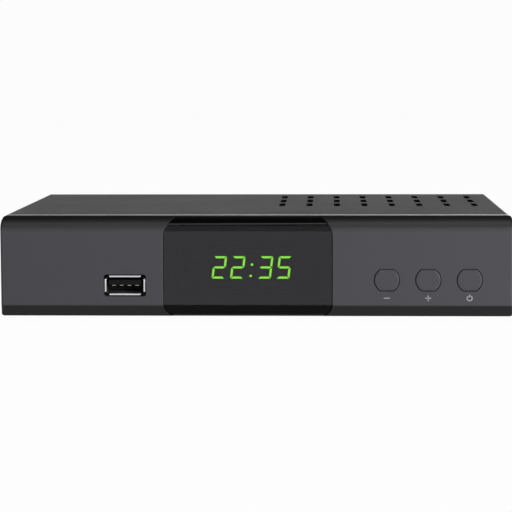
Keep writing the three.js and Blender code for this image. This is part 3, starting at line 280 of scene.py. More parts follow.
def make_piece(name, shape, material, slot=None, node=None, spot=(0, 0, 0), facing="up", body="case",
               soften=0):
    """Place a shape drawn in millimetres, and make it an object in metres that rides on a body."""
    put(shape, shape.verts, spot, facing)
    bmesh.ops.recalc_face_normals(shape, faces=shape.faces)
    bmesh.ops.scale(shape, vec=(MM, MM, MM), verts=shape.verts)
    mesh = bpy.data.meshes.new(name)
    shape.to_mesh(mesh)
    shape.free()
    mesh.shade_smooth()
    mesh.set_sharp_from_angle(angle=SHARP_ANGLE)
    mesh.materials.append(material)
    piece = add_object(name, mesh)
    if soften:
        soften_edges(piece, soften)
    piece.modifiers.new("even_normals", "WEIGHTED_NORMAL").keep_sharp = not soften
    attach(piece, body)
    if node:
        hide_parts(node)
    return piece


TRAY_FOLD_RADIUS = 1.1
TRAY_RELIEF = 0.5  # slit at the end of a fold
TRAY_CORNER = 0.6
TRAY_WING_CORNER = 2.5
TRAY_WING_HEIGHT = 12
TRAY_WING_START = 4.5  # floor's front edge to the side flanges
FLOOR_SLOT = (2.4, 14)
FLOOR_SLOT_PITCH = 8
FLOOR_SLOT_COLUMNS = 9
FLOOR_SLOT_ROWS = (36.7, 58.7)  # from the floor's front edge
HOOK_SLOT = (6.6, 2.6)
HOOK_PLACES = (-62, 0, 62)
HOOK_ROW = 2.1
SOCKET_GAP = 0.4
SCREW_HOLE = 1.6
STANDOFF_RADIUS = 3
STANDOFF_HOLE = 1.6
STANDOFF_ROOT = 1.2  # how far its foot flares out

tray_low, tray_high = box_mm("base_tray")
board_low, board_high = box_mm("main_board")
tray_foot = tray_low.z
fold_back = tray_high.y - TRAY_FOLD_RADIUS
fold_side = tray_high.x - TRAY_FOLD_RADIUS
fold_length = TRAY_FOLD_RADIUS * math.pi / 2


def unrolled(fold, height):
    """Where a height above the table lies on the flat sheet, past a fold."""
    return fold + fold_length + height - tray_foot - TRAY_FOLD_RADIUS


antenna_in, antenna_loop = middle_mm("antenna_input_socket"), middle_mm("antenna_loop_plug")
hdmi, hdmi_top = middle_mm("hdmi_shell"), box_mm("hdmi_shell")[1].z
scart, scart_top = middle_mm("scart_socket"), box_mm("scart_socket")[1].z
audio, inlet = middle_mm("audio_socket_barrel"), middle_mm("power_inlet")
inlet_low, inlet_high = box_mm("power_inlet")
rear_screw, side_screw = middle_mm("cover_screw_rear_right"), middle_mm("cover_screw_right")

ANTENNA_INPUT_RADIUS = 5.6
ANTENNA_LOOP_RADIUS = 4.75
HDMI_SIZE = (15, 5.6)
HDMI_CUT = 1.6
SCART_SIZE = (47, 16)
SCART_CUT = 4.5
SCART_BLOCK_TOP = 2.2  # moulded block, above the shroud
AUDIO_COLLAR_RADIUS = 4.9
hdmi_z = hdmi_top - HDMI_SIZE[1] / 2
scart_z = scart_top - SCART_BLOCK_TOP - SCART_SIZE[1] / 2

wing_end = unrolled(fold_side, tray_foot + TRAY_WING_HEIGHT)
wing_front = tray_low.y + TRAY_WING_START
wing_back = fold_back - TRAY_RELIEF
relief_in = fold_side - TRAY_RELIEF
wall_end = unrolled(fold_back, tray_high.z)
half_tray = [
    (tray_high.x, tray_low.y, TRAY_CORNER), (tray_high.x, wing_front - TRAY_RELIEF, TRAY_CORNER / 2),
    (relief_in, wing_front - TRAY_RELIEF, TRAY_RELIEF / 3), (relief_in, wing_front, TRAY_RELIEF / 3),
    (wing_end, wing_front, TRAY_WING_CORNER), (wing_end, wing_back - TRAY_RELIEF, TRAY_WING_CORNER),
    (relief_in, wing_back - TRAY_RELIEF, TRAY_RELIEF / 3), (relief_in, wing_back, TRAY_RELIEF / 3),
    (tray_high.x, wing_back, TRAY_CORNER / 2), (tray_high.x, wall_end, TRAY_CORNER)]
tray_holes = [
    rectangle((column - (FLOOR_SLOT_COLUMNS - 1) / 2) * FLOOR_SLOT_PITCH, tray_low.y + row,
              *FLOOR_SLOT, FLOOR_SLOT[0] / 2)
    for row in FLOOR_SLOT_ROWS for column in range(FLOOR_SLOT_COLUMNS)]
tray_holes += [rectangle(x, tray_low.y + HOOK_ROW, *HOOK_SLOT, COATED_RIM * 2) for x in HOOK_PLACES]
side_hole_x, rear_hole_y = unrolled(fold_side, side_screw.z), unrolled(fold_back, rear_screw.z)
# The sheet is drawn with its underside up, so left and right change places.
tray_holes += [
    circle(-side_hole_x, side_screw.y, SCREW_HOLE), circle(side_hole_x, side_screw.y, SCREW_HOLE),
    circle(-rear_screw.x, rear_hole_y, SCREW_HOLE), circle(rear_screw.x, rear_hole_y, SCREW_HOLE),
    circle(-antenna_in.x, unrolled(fold_back, antenna_in.z), ANTENNA_INPUT_RADIUS + SOCKET_GAP),
    circle(-antenna_loop.x, unrolled(fold_back, antenna_loop.z), ANTENNA_LOOP_RADIUS + SOCKET_GAP),
    dee(-hdmi.x, unrolled(fold_back, hdmi_z), *HDMI_SIZE, HDMI_CUT, SOCKET_GAP, SOCKET_GAP),
    dee(-scart.x, unrolled(fold_back, scart_z), *SCART_SIZE, SCART_CUT, SOCKET_GAP, SOCKET_GAP),
    circle(-audio.x, unrolled(fold_back, audio.z), AUDIO_COLLAR_RADIUS + SOCKET_GAP),
    rectangle(-inlet.x, unrolled(fold_back, inlet.z), inlet_high.x - inlet_low.x + 2 * SOCKET_GAP,
              inlet_high.z - inlet_low.z + 2 * SOCKET_GAP, 2 * SOCKET_GAP)]
tray = new_shape()
add_sheet(tray, mirror_corners(half_tray), tray_holes, SHEET, COATED_RIM, COATED_RIM, COATED_RIM_STEPS)
fold_down(tray, 0, fold_side, TRAY_FOLD_RADIUS, lambda spot: spot.y < wing_back)
fold_down(tray, 0, -fold_side, TRAY_FOLD_RADIUS, lambda spot: spot.y < wing_back)
fold_down(tray, 1, fold_back, TRAY_FOLD_RADIUS, lambda spot: spot.z > -SHEET - COATED_RIM)
put(tray, tray.verts, (0, 0, tray_foot), "down")
standoff_foot, standoff_top = tray_foot + SHEET, board_low.z
standoff_flare = STANDOFF_RADIUS + STANDOFF_ROOT
for index in range(1, 5):
    screw = middle_mm(f"board_screw_{index}")
    boss = add_turned(tray, [
        (STANDOFF_HOLE, standoff_foot - SHEET / 2), (standoff_flare, standoff_foot - SHEET / 2),
        (standoff_flare, standoff_foot + COATED_RIM),
        (STANDOFF_RADIUS + STANDOFF_ROOT / 3, standoff_foot + STANDOFF_ROOT / 3),
        (STANDOFF_RADIUS, standoff_foot + STANDOFF_ROOT), (STANDOFF_RADIUS, standoff_top - SHEET / 2),
        (STANDOFF_RADIUS - SHEET / 2, standoff_top), (STANDOFF_HOLE, standoff_top)], closed=True)
    put(tray, boss, (screw.x, screw.y, 0))


def feed(node, feeds):
    """Feed a node's inputs with values or with other nodes' outputs."""
    for socket, value in feeds.items():
        if isinstance(value, bpy.types.NodeSocket):
            node.id_data.links.new(value, node.inputs[socket])
        else:
            node.inputs[socket].default_value = value


def add_node(tree, kind, feeds=None, **fields):
    """Add a node, set its fields and feed its inputs."""
    made = tree.nodes.new(kind)
    for field, value in fields.items():
        setattr(made, field, value)
    feed(made, feeds or {})
    return made


def object_spots(tree):
    """The coordinates of the object."""
    return add_node(tree, "ShaderNodeTexCoord").outputs["Object"]


def maths(tree, operation, *values, clamp=False):
    """The outcome of a sum."""
    feeds = dict(enumerate(values))
    return add_node(tree, "ShaderNodeMath", feeds, operation=operation, use_clamp=clamp).outputs[0]


def blend_colors(tree, share, first, second):
    """A colour between two."""
    return add_node(tree, "ShaderNodeMix", {0: share, 6: first, 7: second}, data_type="RGBA").outputs[2]


def noise(tree, scale, detail):
    """Noise over the object, 0 to 1."""
    feeds = {"Vector": object_spots(tree), "Scale": scale, "Detail": detail, "Roughness": NOISE_ROUGHNESS}
    return add_node(tree, "ShaderNodeTexNoise", feeds).outputs[0]


def new_group(name, inputs, outputs):
    """A shader node group with number sockets. Returns it, what goes in and what comes out."""
    group = bpy.data.node_groups.new(name, "ShaderNodeTree")
    for label, value in inputs.items():
        made = group.interface.new_socket(label, in_out="INPUT", socket_type="NodeSocketFloat")
        made.default_value = value
    for label in outputs:
        group.interface.new_socket(label, in_out="OUTPUT", socket_type="NodeSocketFloat")
    return group, group.nodes.new("NodeGroupInput").outputs, group.nodes.new("NodeGroupOutput").inputs


MICRON = 1e-6
NOISE_ROUGHNESS = 0.55
PATCH_CONTRAST = 3
PATCH_CUT = 1
RUB_SAMPLES = 4
GREASE_MIDDLE = 0.5
SPECK_CUT = 0.62
SPECK_CONTRAST = 9
DUST_COLOR = (0.32, 0.31, 0.29, 1)
WORN_COLOR = (0.2, 0.2, 0.2)

# The skin of a moulding or a coat: a fine height, and a slow drift of tone.
skin_group, skin_in, skin_out = new_group(
    "fine_skin", {"Grain Scale": 3000, "Drift Scale": 40}, ["Height", "Drift"])
skin_group.links.new(noise(skin_group, skin_in["Grain Scale"], detail=2), skin_out["Height"])
skin_group.links.new(noise(skin_group, skin_in["Drift Scale"], detail=3), skin_out["Drift"])

# Where hands and the packing have rubbed an outside edge, in broken patches.
rub_group, rub_in, rub_out = new_group("rubbed_edges", {"Reach": 0.0005, "Patch Scale": 500}, ["Mask"])
inside = add_node(rub_group, "ShaderNodeAmbientOcclusion", {"Distance": rub_in["Reach"]}, inside=True,
                  samples=RUB_SAMPLES)
patches = noise(rub_group, rub_in["Patch Scale"], detail=3)
patches = maths(rub_group, "MULTIPLY_ADD", patches, PATCH_CONTRAST, -PATCH_CUT, clamp=True)
edge = maths(rub_group, "SUBTRACT", 1, inside.outputs["AO"], clamp=True)
rub_group.links.new(maths(rub_group, "MULTIPLY", edge, patches, clamp=True), rub_out["Mask"])

# Fingers leave slow patches of grease, and dust settles in specks on what faces up.
use_group, use_in, use_out = new_group(
    "use_marks", {"Smear Scale": 30, "Speck Scale": 1400}, ["Grease", "Dust"])
smears = noise(use_group, use_in["Smear Scale"], detail=4)
smears = maths(use_group, "SUBTRACT", smears, GREASE_MIDDLE)
use_group.links.new(smears, use_out["Grease"])
facing = add_node(use_group, "ShaderNodeSeparateXYZ", {
    0: add_node(use_group, "ShaderNodeNewGeometry").outputs["Normal"]}).outputs["Z"]
specks = noise(use_group, use_in["Speck Scale"], detail=2)
specks = maths(use_group, "SUBTRACT", specks, SPECK_CUT, clamp=True)
specks = maths(use_group, "MULTIPLY", specks, SPECK_CONTRAST, clamp=True)
use_group.links.new(maths(use_group, "MULTIPLY", specks, facing, clamp=True), use_out["Dust"])


def make_finish(name, color, roughness, grain=(3000, 20), drift=0.06, rub=0, rub_color=WORN_COLOR, dust=0.02,
                grease=0.12, metallic=0, specular=0.5):
    """A finish with a fine skin, rubbed edges, grease and dust. The grain is its scale and its depth in
    thousandths of a millimetre."""
    made = bpy.data.materials.new(name)
    made.use_nodes = True
    tree = made.node_tree
    skin = add_node(tree, "ShaderNodeGroup", node_tree=skin_group)
    grain_scale, grain_depth = grain
    feed(skin, {"Grain Scale": grain_scale})
    rubbed = add_node(tree, "ShaderNodeGroup", node_tree=rub_group)
    marks = add_node(tree, "ShaderNodeGroup", node_tree=use_group)
    deep, pale = [(*[part * (1 + way * drift) for part in color], 1) for way in (-1, 1)]
    tone = blend_colors(tree, skin.outputs["Drift"], deep, pale)
    tone = blend_colors(tree, maths(tree, "MULTIPLY", rubbed.outputs["Mask"], rub), tone, (*rub_color, 1))
    tone = blend_colors(tree, maths(tree, "MULTIPLY", marks.outputs["Dust"], dust), tone, DUST_COLOR)
    gloss = maths(tree, "MULTIPLY", marks.outputs["Grease"], grease)
    gloss = maths(tree, "ADD", gloss, roughness, clamp=True)
    bump = add_node(tree, "ShaderNodeBump", {
        "Height": skin.outputs["Height"], "Distance": grain_depth * MICRON})
    feed(tree.nodes["Principled BSDF"], {
        "Base Color": tone, "Roughness": gloss, "Normal": bump.outputs["Normal"], "Metallic": metallic,
        "Specular IOR Level": specular})
    return made


coated_steel = make_finish("powder_coat", (0.085, 0.085, 0.085), 0.45, grain=(2600, 30), drift=0.08,
                           rub=0.25, dust=0.06, specular=0.3)
make_piece("tray", tray, coated_steel, "painted_steel", "base_tray")

# Feet
# Four round pads of black rubber, moulded with a bevelled rim and a shallow dish below, and stuck under
# the corners of the tray.

FOOT_TOP_RADIUS = 5
FOOT_RADIUS = 4.6
FOOT_EDGE = 0.4
FOOT_DISH = 0.25


def make_turned(name, points, *dress, closed=False):
    """A piece spun round its own axis. What follows its points is the end of make_piece's list."""
    shape = new_shape()
    add_turned(shape, points, closed)
    make_piece(name, shape, *dress)


rubber = make_finish("foot_rubber", (0.018, 0.018, 0.018), 0.8, grain=(1800, 40), drift=0.15, dust=0.2,
                     specular=0.3)
for end in ("front", "rear"):
    for side in ("left", "right"):
        node = f"foot_{end}_{side}"
        spot = middle_mm(node)
        make_turned(f"{end}_{side}_foot", [
            (0, FOOT_DISH), (FOOT_RADIUS - 3 * FOOT_EDGE, FOOT_DISH), (FOOT_RADIUS - 2 * FOOT_EDGE, 0),
            (FOOT_RADIUS - FOOT_EDGE, 0), (FOOT_RADIUS - FOOT_EDGE / 4, FOOT_EDGE / 4),
            (FOOT_RADIUS, FOOT_EDGE), (FOOT_TOP_RADIUS, tray_foot), (0, tray_foot)],
            rubber, "foot_rubber", node, (spot.x, spot.y, 0))

# Boards and what is soldered to them
# Glass-epoxy laminate under green solder mask. The main board carries the processor under its finned heat
# sink, memory, a crystal and the supply's capacitors, chokes and regulator, and a flat cable joins it to
# the upright board with the key switches and the remote control's eye.

BOARD_TRACK_SCALE = 420
MASK_GREEN = (0.012, 0.09, 0.035)
TRACK_GREEN = (0.03, 0.17, 0.07)
GAP_GREEN = (0.01, 0.07, 0.03)
BOARD_EDGE = 0.1
CHIP_EDGE = 0.15
PLUG_EDGE = 0.2
CAN_EDGE = 0.3
JOIN_REACH = 1e-3  # between corners that count as one
KEYS = ("channel_down", "channel_up", "power")

laminate = make_finish("solder_mask", MASK_GREEN, 0.35, grain=(900, 10))
tree = laminate.node_tree
tracks = add_node(tree, "ShaderNodeTexBrick", {
    "Vector": object_spots(tree), "Scale": BOARD_TRACK_SCALE, "Color1": (*MASK_GREEN, 1),
    "Color2": (*TRACK_GREEN, 1), "Mortar": (*GAP_GREEN, 1), "Mortar Size": 0.05, "Brick Width": 2.6,
    "Row Height": 0.35})
feed(tree.nodes["Principled BSDF"], {"Base Color": tracks.outputs["Color"]})
chip_epoxy = make_finish("chip_epoxy", (0.016, 0.016, 0.018), 0.6, grain=(4000, 20))
sleeve = make_finish("shrunk_sleeve", (0.012, 0.024, 0.075), 0.3, grain=(300, 10))
tin_plate = make_finish("tin_plate", (0.62, 0.62, 0.63), 0.3, grain=(700, 6), metallic=1, drift=0.1,
                        grease=0.3)
aluminium = make_finish("anodised_aluminium", (0.46, 0.47, 0.48), 0.42, grain=(1500, 6), metallic=1)
white_plastic = make_finish("natural_nylon", (0.76, 0.73, 0.66), 0.5, grain=(2500, 20))
black_plastic = make_finish("black_moulding", (0.012, 0.012, 0.012), 0.5, grain=(2500, 20), dust=0.04)

kept_nodes = [
    (laminate, BOARD_EDGE, ["main_board", "display_board"]),
    (chip_epoxy, CHIP_EDGE, ["processor", "memory_chip", "flash_chip", "choke_1", "choke_2", "regulator"]),
    (sleeve, CAN_EDGE, ["capacitor_1", "capacitor_2", "capacitor_3"]),
    (tin_plate, CAN_EDGE, ["crystal", "tuner_can"]),
    (aluminium, CHIP_EDGE, ["heat_sink"]),
    (white_plastic, PLUG_EDGE, ["cable_plug_main", "cable_plug_display", "flat_cable"]),
    (black_plastic, CHIP_EDGE, ["remote_eye"]),
    (black_plastic, CHIP_EDGE, [f"{key}_switch{part}" for key in KEYS for part in ("", "_plunger")])]
for material, width, names in kept_nodes:
    for name in names:
        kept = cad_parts[name]
        kept.data.materials.clear()
        kept.data.materials.append(material)
        kept.modifiers.new("joined_faces", "WELD").merge_threshold = JOIN_REACH * MM
        soften_edges(kept, width)

# Rear sockets
# Antenna input and loop output in nickel-plated brass on the tin-plated tuner, an HDMI socket in a folded
# tin-plated shell, a moulded SCART socket, a digital audio socket and a low-voltage inlet, all soldered to
# the main board's back edge.

SOCKET_EDGE = 0.25
ANTENNA_BORE = 8.6
ANTENNA_FLANGE = 1.2
ANTENNA_INPUT_WALL = 0.8
ANTENNA_LOOP_WALL = 0.6
CENTRE_TUBE_RADIUS = 1.9
CENTRE_HOLE_RADIUS = 1.25
CENTRE_SHORT = 1.2
LOOP_PIN_RADIUS = 1.2
INSULATOR_DEPTH = 1.5
QUARTER_TURN = [math.pi / 8 * step for step in range(5)]  # the angles along a rounded edge

nickel = make_finish("nickel_plate", (0.5, 0.47, 0.42), 0.22, grain=(900, 4), metallic=1, drift=0.08,
                     grease=0.25)


def tube_points(outer, inner, back, front, edge):
    """The closed profile of a tube with a rounded front end, as (radius, height) points."""
    rounds = [(edge * (1 - math.cos(turn)), edge * (1 - math.sin(turn))) for turn in QUARTER_TURN]
    return [(inner, back), (outer, back)] + [(outer - across, front - down) for across, down in rounds] + [
        (inner + across, front - down) for down, across in rounds]


def pin_points(radius, root, tip):
    """The profile of a pin with a domed tip, as (radius, height) points."""
    return [(0, root), (radius, root)] + [
        (radius * math.cos(turn), tip - radius * (1 - math.sin(turn))) for turn in QUARTER_TURN]


def add_floored_sheet(shape, outline, holes, hole_depth, depth, rim, rim_steps=3):
    """Add a plate whose holes end on a floor. Returns the vertices above the floor."""
    pierced = add_sheet(shape, outline, holes, hole_depth, rim, rim_steps=rim_steps)
    put(shape, add_sheet(shape, outline, [], depth - hole_depth, 0), (0, 0, -hole_depth))
    return pierced


def add_bar(shape, x, z, width, height, front, back):
    """Add a block about (x, z) between two places along Y."""
    add_block(shape, (x - width / 2, front, z - height / 2), (x + width / 2, back, z + height / 2))


def antenna_shell(name, node, radius, wall):
    """A flanged barrel that faces back, with an insulator at the end of its bore. Returns its place."""
    low, high = box_mm(node)
    spot = Vector(((low.x + high.x) / 2, 0, (low.z + high.z) / 2))
    shell = new_shape()
    flange = add_sheet(shell, rectangle(0, 0, high.x - low.x, high.z - low.z, 2 * SOCKET_EDGE),
                       [circle(0, 0, radius - wall)], ANTENNA_FLANGE, SOCKET_EDGE)
    put(shell, flange, (0, 0, low.y + ANTENNA_FLANGE))
    add_turned(shell, tube_points(radius, radius - wall, low.y, high.y, SOCKET_EDGE), closed=True)
    make_piece(name, shell, nickel, "nickel", node, spot, "back")
    bore, bore_end = radius - wall, high.y - ANTENNA_BORE
    make_turned(f"{name}_insulator", [
        (0, bore_end - INSULATOR_DEPTH), (bore, bore_end - INSULATOR_DEPTH), (bore, bore_end),
        (1.3 * CENTRE_TUBE_RADIUS, bore_end), (1.2 * CENTRE_TUBE_RADIUS, bore_end + SOCKET_EDGE),
        (0, bore_end + SOCKET_EDGE)], white_plastic, "white_plastic", None, spot, "back")
    return spot, high.y


spot, rim = antenna_shell("antenna_input_barrel", "antenna_input_socket", ANTENNA_INPUT_RADIUS,
                          ANTENNA_INPUT_WALL)
contact = tube_points(CENTRE_TUBE_RADIUS, CENTRE_HOLE_RADIUS, rim - ANTENNA_BORE, rim - CENTRE_SHORT,
                      SOCKET_EDGE)
make_turned("antenna_input_contact", contact, nickel, "nickel", None, spot, "back", closed=True)
spot, rim = antenna_shell("antenna_loop_barrel", "antenna_loop_plug", ANTENNA_LOOP_RADIUS, ANTENNA_LOOP_WALL)
contact = pin_points(LOOP_PIN_RADIUS, rim - ANTENNA_BORE, rim - CENTRE_SHORT)
make_turned("antenna_loop_pin", contact, nickel, "nickel", None, spot, "back")

HDMI_SHEET = 0.4
HDMI_TONGUE = (11.4, 1.3)
HDMI_TONGUE_SHORT = 1.2
HDMI_BLOCK = 4.5
HDMI_CONTACT = (0.44, 0.16)
HDMI_CONTACT_SHORT = 1
HDMI_CONTACT_COUNT = 10
HDMI_CONTACT_PITCH = 1

low, high = box_mm("hdmi_shell")
hdmi_outline = dee(0, 0, *HDMI_SIZE, HDMI_CUT, 1.5 * HDMI_SHEET)
hdmi_hole = dee(0, 0, *HDMI_SIZE, HDMI_CUT, HDMI_SHEET / 2, -HDMI_SHEET)
shell = new_shape()
add_sheet(shell, hdmi_outline, [hdmi_hole], high.y - low.y, HDMI_SHEET / 3)
put(shell, shell.verts, (hdmi.x, high.y, hdmi_z), "back")
for side in (-1, 1):
    leg_x = hdmi.x + side * (HDMI_SIZE[0] - HDMI_SHEET) / 2
    add_bar(shell, leg_x, (low.z + hdmi_z) / 2, HDMI_SHEET, hdmi_z - low.z, low.y, low.y + HDMI_BLOCK)
make_piece("hdmi_folded_shell", shell, tin_plate, "tinned_steel", "hdmi_shell")
block_back, tongue_tip = low.y + HDMI_BLOCK, high.y - HDMI_TONGUE_SHORT
tongue = new_shape()
add_bar(tongue, hdmi.x, hdmi_z, HDMI_SIZE[0] - 2 * HDMI_CUT, HDMI_SIZE[1] - 2 * HDMI_SHEET,
        low.y + HDMI_SHEET, block_back)
add_bar(tongue, hdmi.x, hdmi_z, *HDMI_TONGUE, block_back - HDMI_SHEET, tongue_tip)
make_piece("hdmi_contact_tongue", tongue, black_plastic, "black_plastic", "hdmi_tongue", soften=CHIP_EDGE)
gold = make_finish("gold_plate", (0.75, 0.5, 0.2), 0.25, grain=(900, 3), metallic=1)
leads = new_shape()
for index in range(HDMI_CONTACT_COUNT):
    lead_x = hdmi.x + (index - (HDMI_CONTACT_COUNT - 1) / 2) * HDMI_CONTACT_PITCH
    for side in (-1, 1):
        add_bar(leads, lead_x, hdmi_z + side * HDMI_TONGUE[1] / 2, *HDMI_CONTACT, block_back,
                tongue_tip - HDMI_CONTACT_SHORT)
make_piece("hdmi_contacts", leads, gold)

SCART_SHROUD = 1.1
SCART_GROOVE = 1.7
SCART_GROOVE_DEPTH = 6
SCART_SLOT = (1.2, 3.6)
SCART_ROW = 2.6
SCART_PITCH = 3.81
SCART_COLUMNS = 10
SCART_SLOT_DEPTH = 5
SCART_ROUND = 1.2
SCART_CORE_CUT = 2.5

low, high = box_mm("scart_socket")
scart_slots = [
    rectangle((column - (SCART_COLUMNS - 1) / 2 - row / 4) * SCART_PITCH, row * SCART_ROW, *SCART_SLOT,
              SCART_SLOT[0] / 4)
    for row in (-1, 1) for column in range(SCART_COLUMNS)]
scart_hole = dee(0, 0, *SCART_SIZE, SCART_CUT, SCART_ROUND / 2, -SCART_SHROUD)
scart_core = dee(0, 0, *SCART_SIZE, SCART_CORE_CUT, SCART_ROUND / 2, -SCART_SHROUD - SCART_GROOVE)
socket = new_shape()
add_sheet(socket, dee(0, 0, *SCART_SIZE, SCART_CUT, SCART_ROUND), [scart_hole], SCART_GROOVE_DEPTH,
          SOCKET_EDGE)
add_floored_sheet(socket, scart_core, scart_slots, SCART_SLOT_DEPTH, SCART_GROOVE_DEPTH, SOCKET_EDGE / 2)
put(socket, socket.verts, (scart.x, high.y, scart_z), "back")
add_block(socket, low, (high.x, high.y - SCART_GROOVE_DEPTH + SOCKET_EDGE, high.z))
make_piece("scart_moulding", socket, black_plastic, "black_plastic", "scart_socket")

AUDIO_CORE_GAP = 0.6
AUDIO_HOLE_RADIUS = 1.65
AUDIO_HOLE_DEPTH = 9
AUDIO_WALL = 0.5

orange_plastic = make_finish("orange_moulding", (0.68, 0.14, 0.02), 0.42, grain=(2500, 20))
low, high = box_mm("audio_socket_body")
barrel_low, barrel_high = box_mm("audio_socket_barrel")
audio_radius = (barrel_high.x - barrel_low.x) / 2
core_radius = audio_radius - AUDIO_CORE_GAP
spot = (audio.x, 0, audio.z)
core = new_shape()
put(core, add_turned(core, [
    (0, high.y - AUDIO_HOLE_DEPTH), (AUDIO_HOLE_RADIUS, high.y - AUDIO_HOLE_DEPTH),
    (AUDIO_HOLE_RADIUS, high.y - SOCKET_EDGE), (AUDIO_HOLE_RADIUS + SOCKET_EDGE, high.y),
    (core_radius - SOCKET_EDGE, high.y), (core_radius, high.y - SOCKET_EDGE), (core_radius, barrel_low.y),
    (AUDIO_COLLAR_RADIUS - SOCKET_EDGE, barrel_low.y), (AUDIO_COLLAR_RADIUS, barrel_low.y - SOCKET_EDGE),
    (AUDIO_COLLAR_RADIUS, tray_high.y - 2 * SHEET), (0, tray_high.y - 2 * SHEET)]), spot, "back")
add_block(core, low, (high.x, tray_high.y - SHEET - SOCKET_EDGE, high.z))
make_piece("audio_moulding", core, orange_plastic, "orange_plastic", "audio_socket_body")
barrel = tube_points(audio_radius, audio_radius - AUDIO_WALL, barrel_low.y, barrel_high.y, AUDIO_WALL / 2.5)
make_turned("audio_barrel", barrel, nickel, "nickel", "audio_socket_barrel", spot, "back", closed=True)

INLET_MOUTH_RADIUS = 3.1
INLET_MOUTH_DEPTH = 9.5
INLET_ROUND = 0.8
INLET_RIM = 0.3

mouth = middle_mm("power_inlet_pin")
inlet_outline = rectangle(0, inlet.z - mouth.z, inlet_high.x - inlet_low.x, inlet_high.z - inlet_low.z,
                          INLET_ROUND)
inlet_body = new_shape()
add_floored_sheet(inlet_body, inlet_outline, [circle(0, 0, INLET_MOUTH_RADIUS)], INLET_MOUTH_DEPTH,
                  inlet_high.y - inlet_low.y, INLET_RIM)
make_piece("inlet_moulding", inlet_body, black_plastic, "black_plastic", "power_inlet",
           (mouth.x, inlet_high.y, mouth.z), "back")
low, high = box_mm("power_inlet_pin")
pin = pin_points((high.x - low.x) / 2, low.y, high.y)
make_turned("inlet_pin", pin, nickel, "nickel", "power_inlet_pin", (mouth.x, 0, mouth.z), "back")

# USB port
# A shell folded from tin-plated steel on the main board's front edge, with four lips flared out at its
# mouth, round a black tongue with four nickel-plated contacts.

USB_SHEET = 0.3
USB_INNER = (12.5, 5.12)
USB_INNER_ROUND = 0.35
USB_RISE = 3.25  # board to the middle of the port
USB_LENGTH = 14
USB_LIP_DEPTH = 0.9
USB_LIP_FACE = 0.58
USB_FLAT_LIP = (10.6, 0.72)
USB_SIDE_LIP = (4.6, 0.45)
USB_LEG = 1.6
USB_LEG_PLACES = (6.4, 11.4)
USB_EDGE = 0.08
USB_TONGUE = (10.9, 1.84)
USB_TONGUE_RISE = 0.85
USB_TONGUE_SET = 1.2
USB_BLOCK = 4.6
USB_BLOCK_GAP = 0.1
USB_CONTACT = (1.3, 0.5)
USB_CONTACT_PITCH = 2.55
USB_CONTACT_SET = 0.8
FRONT_FACE_SHARE = 0.7  # of a face's normal that points forward
FOUR_PLACES = (-1.5, -0.5, 0.5, 1.5)  # in a row, in pitches from its middle


def paint_faces(piece, material, picked):
    """Give a further finish to the faces that a rule picks by their middle and normal."""
    piece.data.materials.append(material)
    for face in piece.data.polygons:
        if picked(face.center / MM, face.normal):
            face.material_index = len(piece.data.materials) - 1


usb_low, usb_high = box_mm("usb_shell")
usb_x, usb_z = (usb_low.x + usb_high.x) / 2, board_high.z + USB_RISE
usb_outer = [size + 2 * USB_SHEET for size in USB_INNER]
shell = new_shape()
add_sheet(shell, rectangle(0, 0, *usb_outer, USB_INNER_ROUND + USB_SHEET),
          [rectangle(0, 0, *USB_INNER, USB_INNER_ROUND)], USB_LENGTH - USB_LIP_DEPTH, 0)
put(shell, shell.verts, (0, 0, -USB_LIP_DEPTH))
lips = [(0, USB_FLAT_LIP, USB_INNER[1] / 2), (90, USB_SIDE_LIP, USB_INNER[0] / 2)]
for turn, (length, reach), half in lips:
    for side in (0, 180):
        lip = add_block(shell, (-length / 2, half, -USB_LIP_DEPTH), (length / 2, half + USB_SHEET, 0))
        for vert in lip:
            if vert.co.z > -USB_LIP_DEPTH / 2:
                vert.co.y += reach - (USB_SHEET if vert.co.y > half else USB_LIP_FACE)
                vert.co.x *= 1 - USB_SHEET / length
        bmesh.ops.rotate(shell, matrix=Matrix.Rotation(math.radians(turn + side), 3, "Z"), verts=lip)
put(shell, shell.verts, (usb_x, usb_low.y, usb_z), "front")
for side in (-1, 1):
    leg_x = usb_x + side * (USB_INNER[0] + USB_SHEET) / 2
    for place in USB_LEG_PLACES:
        leg_front = usb_low.y + place - USB_LEG / 2
        add_bar(shell, leg_x, usb_z - USB_RISE / 2, USB_SHEET, USB_RISE, leg_front, leg_front + USB_LEG)
usb_piece = make_piece("usb_folded_shell", shell, tin_plate, "tinned_steel", "usb_shell", soften=USB_EDGE)
# Painted shade: the shell's front faces behind its lips are cut edges, painted far darker and duller than
# bare steel, for the shade in the port's mouth.
cut_steel_shade = make_finish("cut_steel_shade", (0.012, 0.012, 0.012), 0.6, metallic=0.3, dust=0, specular=0.1)
paint_faces(usb_piece, cut_steel_shade, lambda spot, normal: (
    normal.y < -FRONT_FACE_SHARE and spot.y > usb_low.y + USB_LIP_DEPTH / 2))
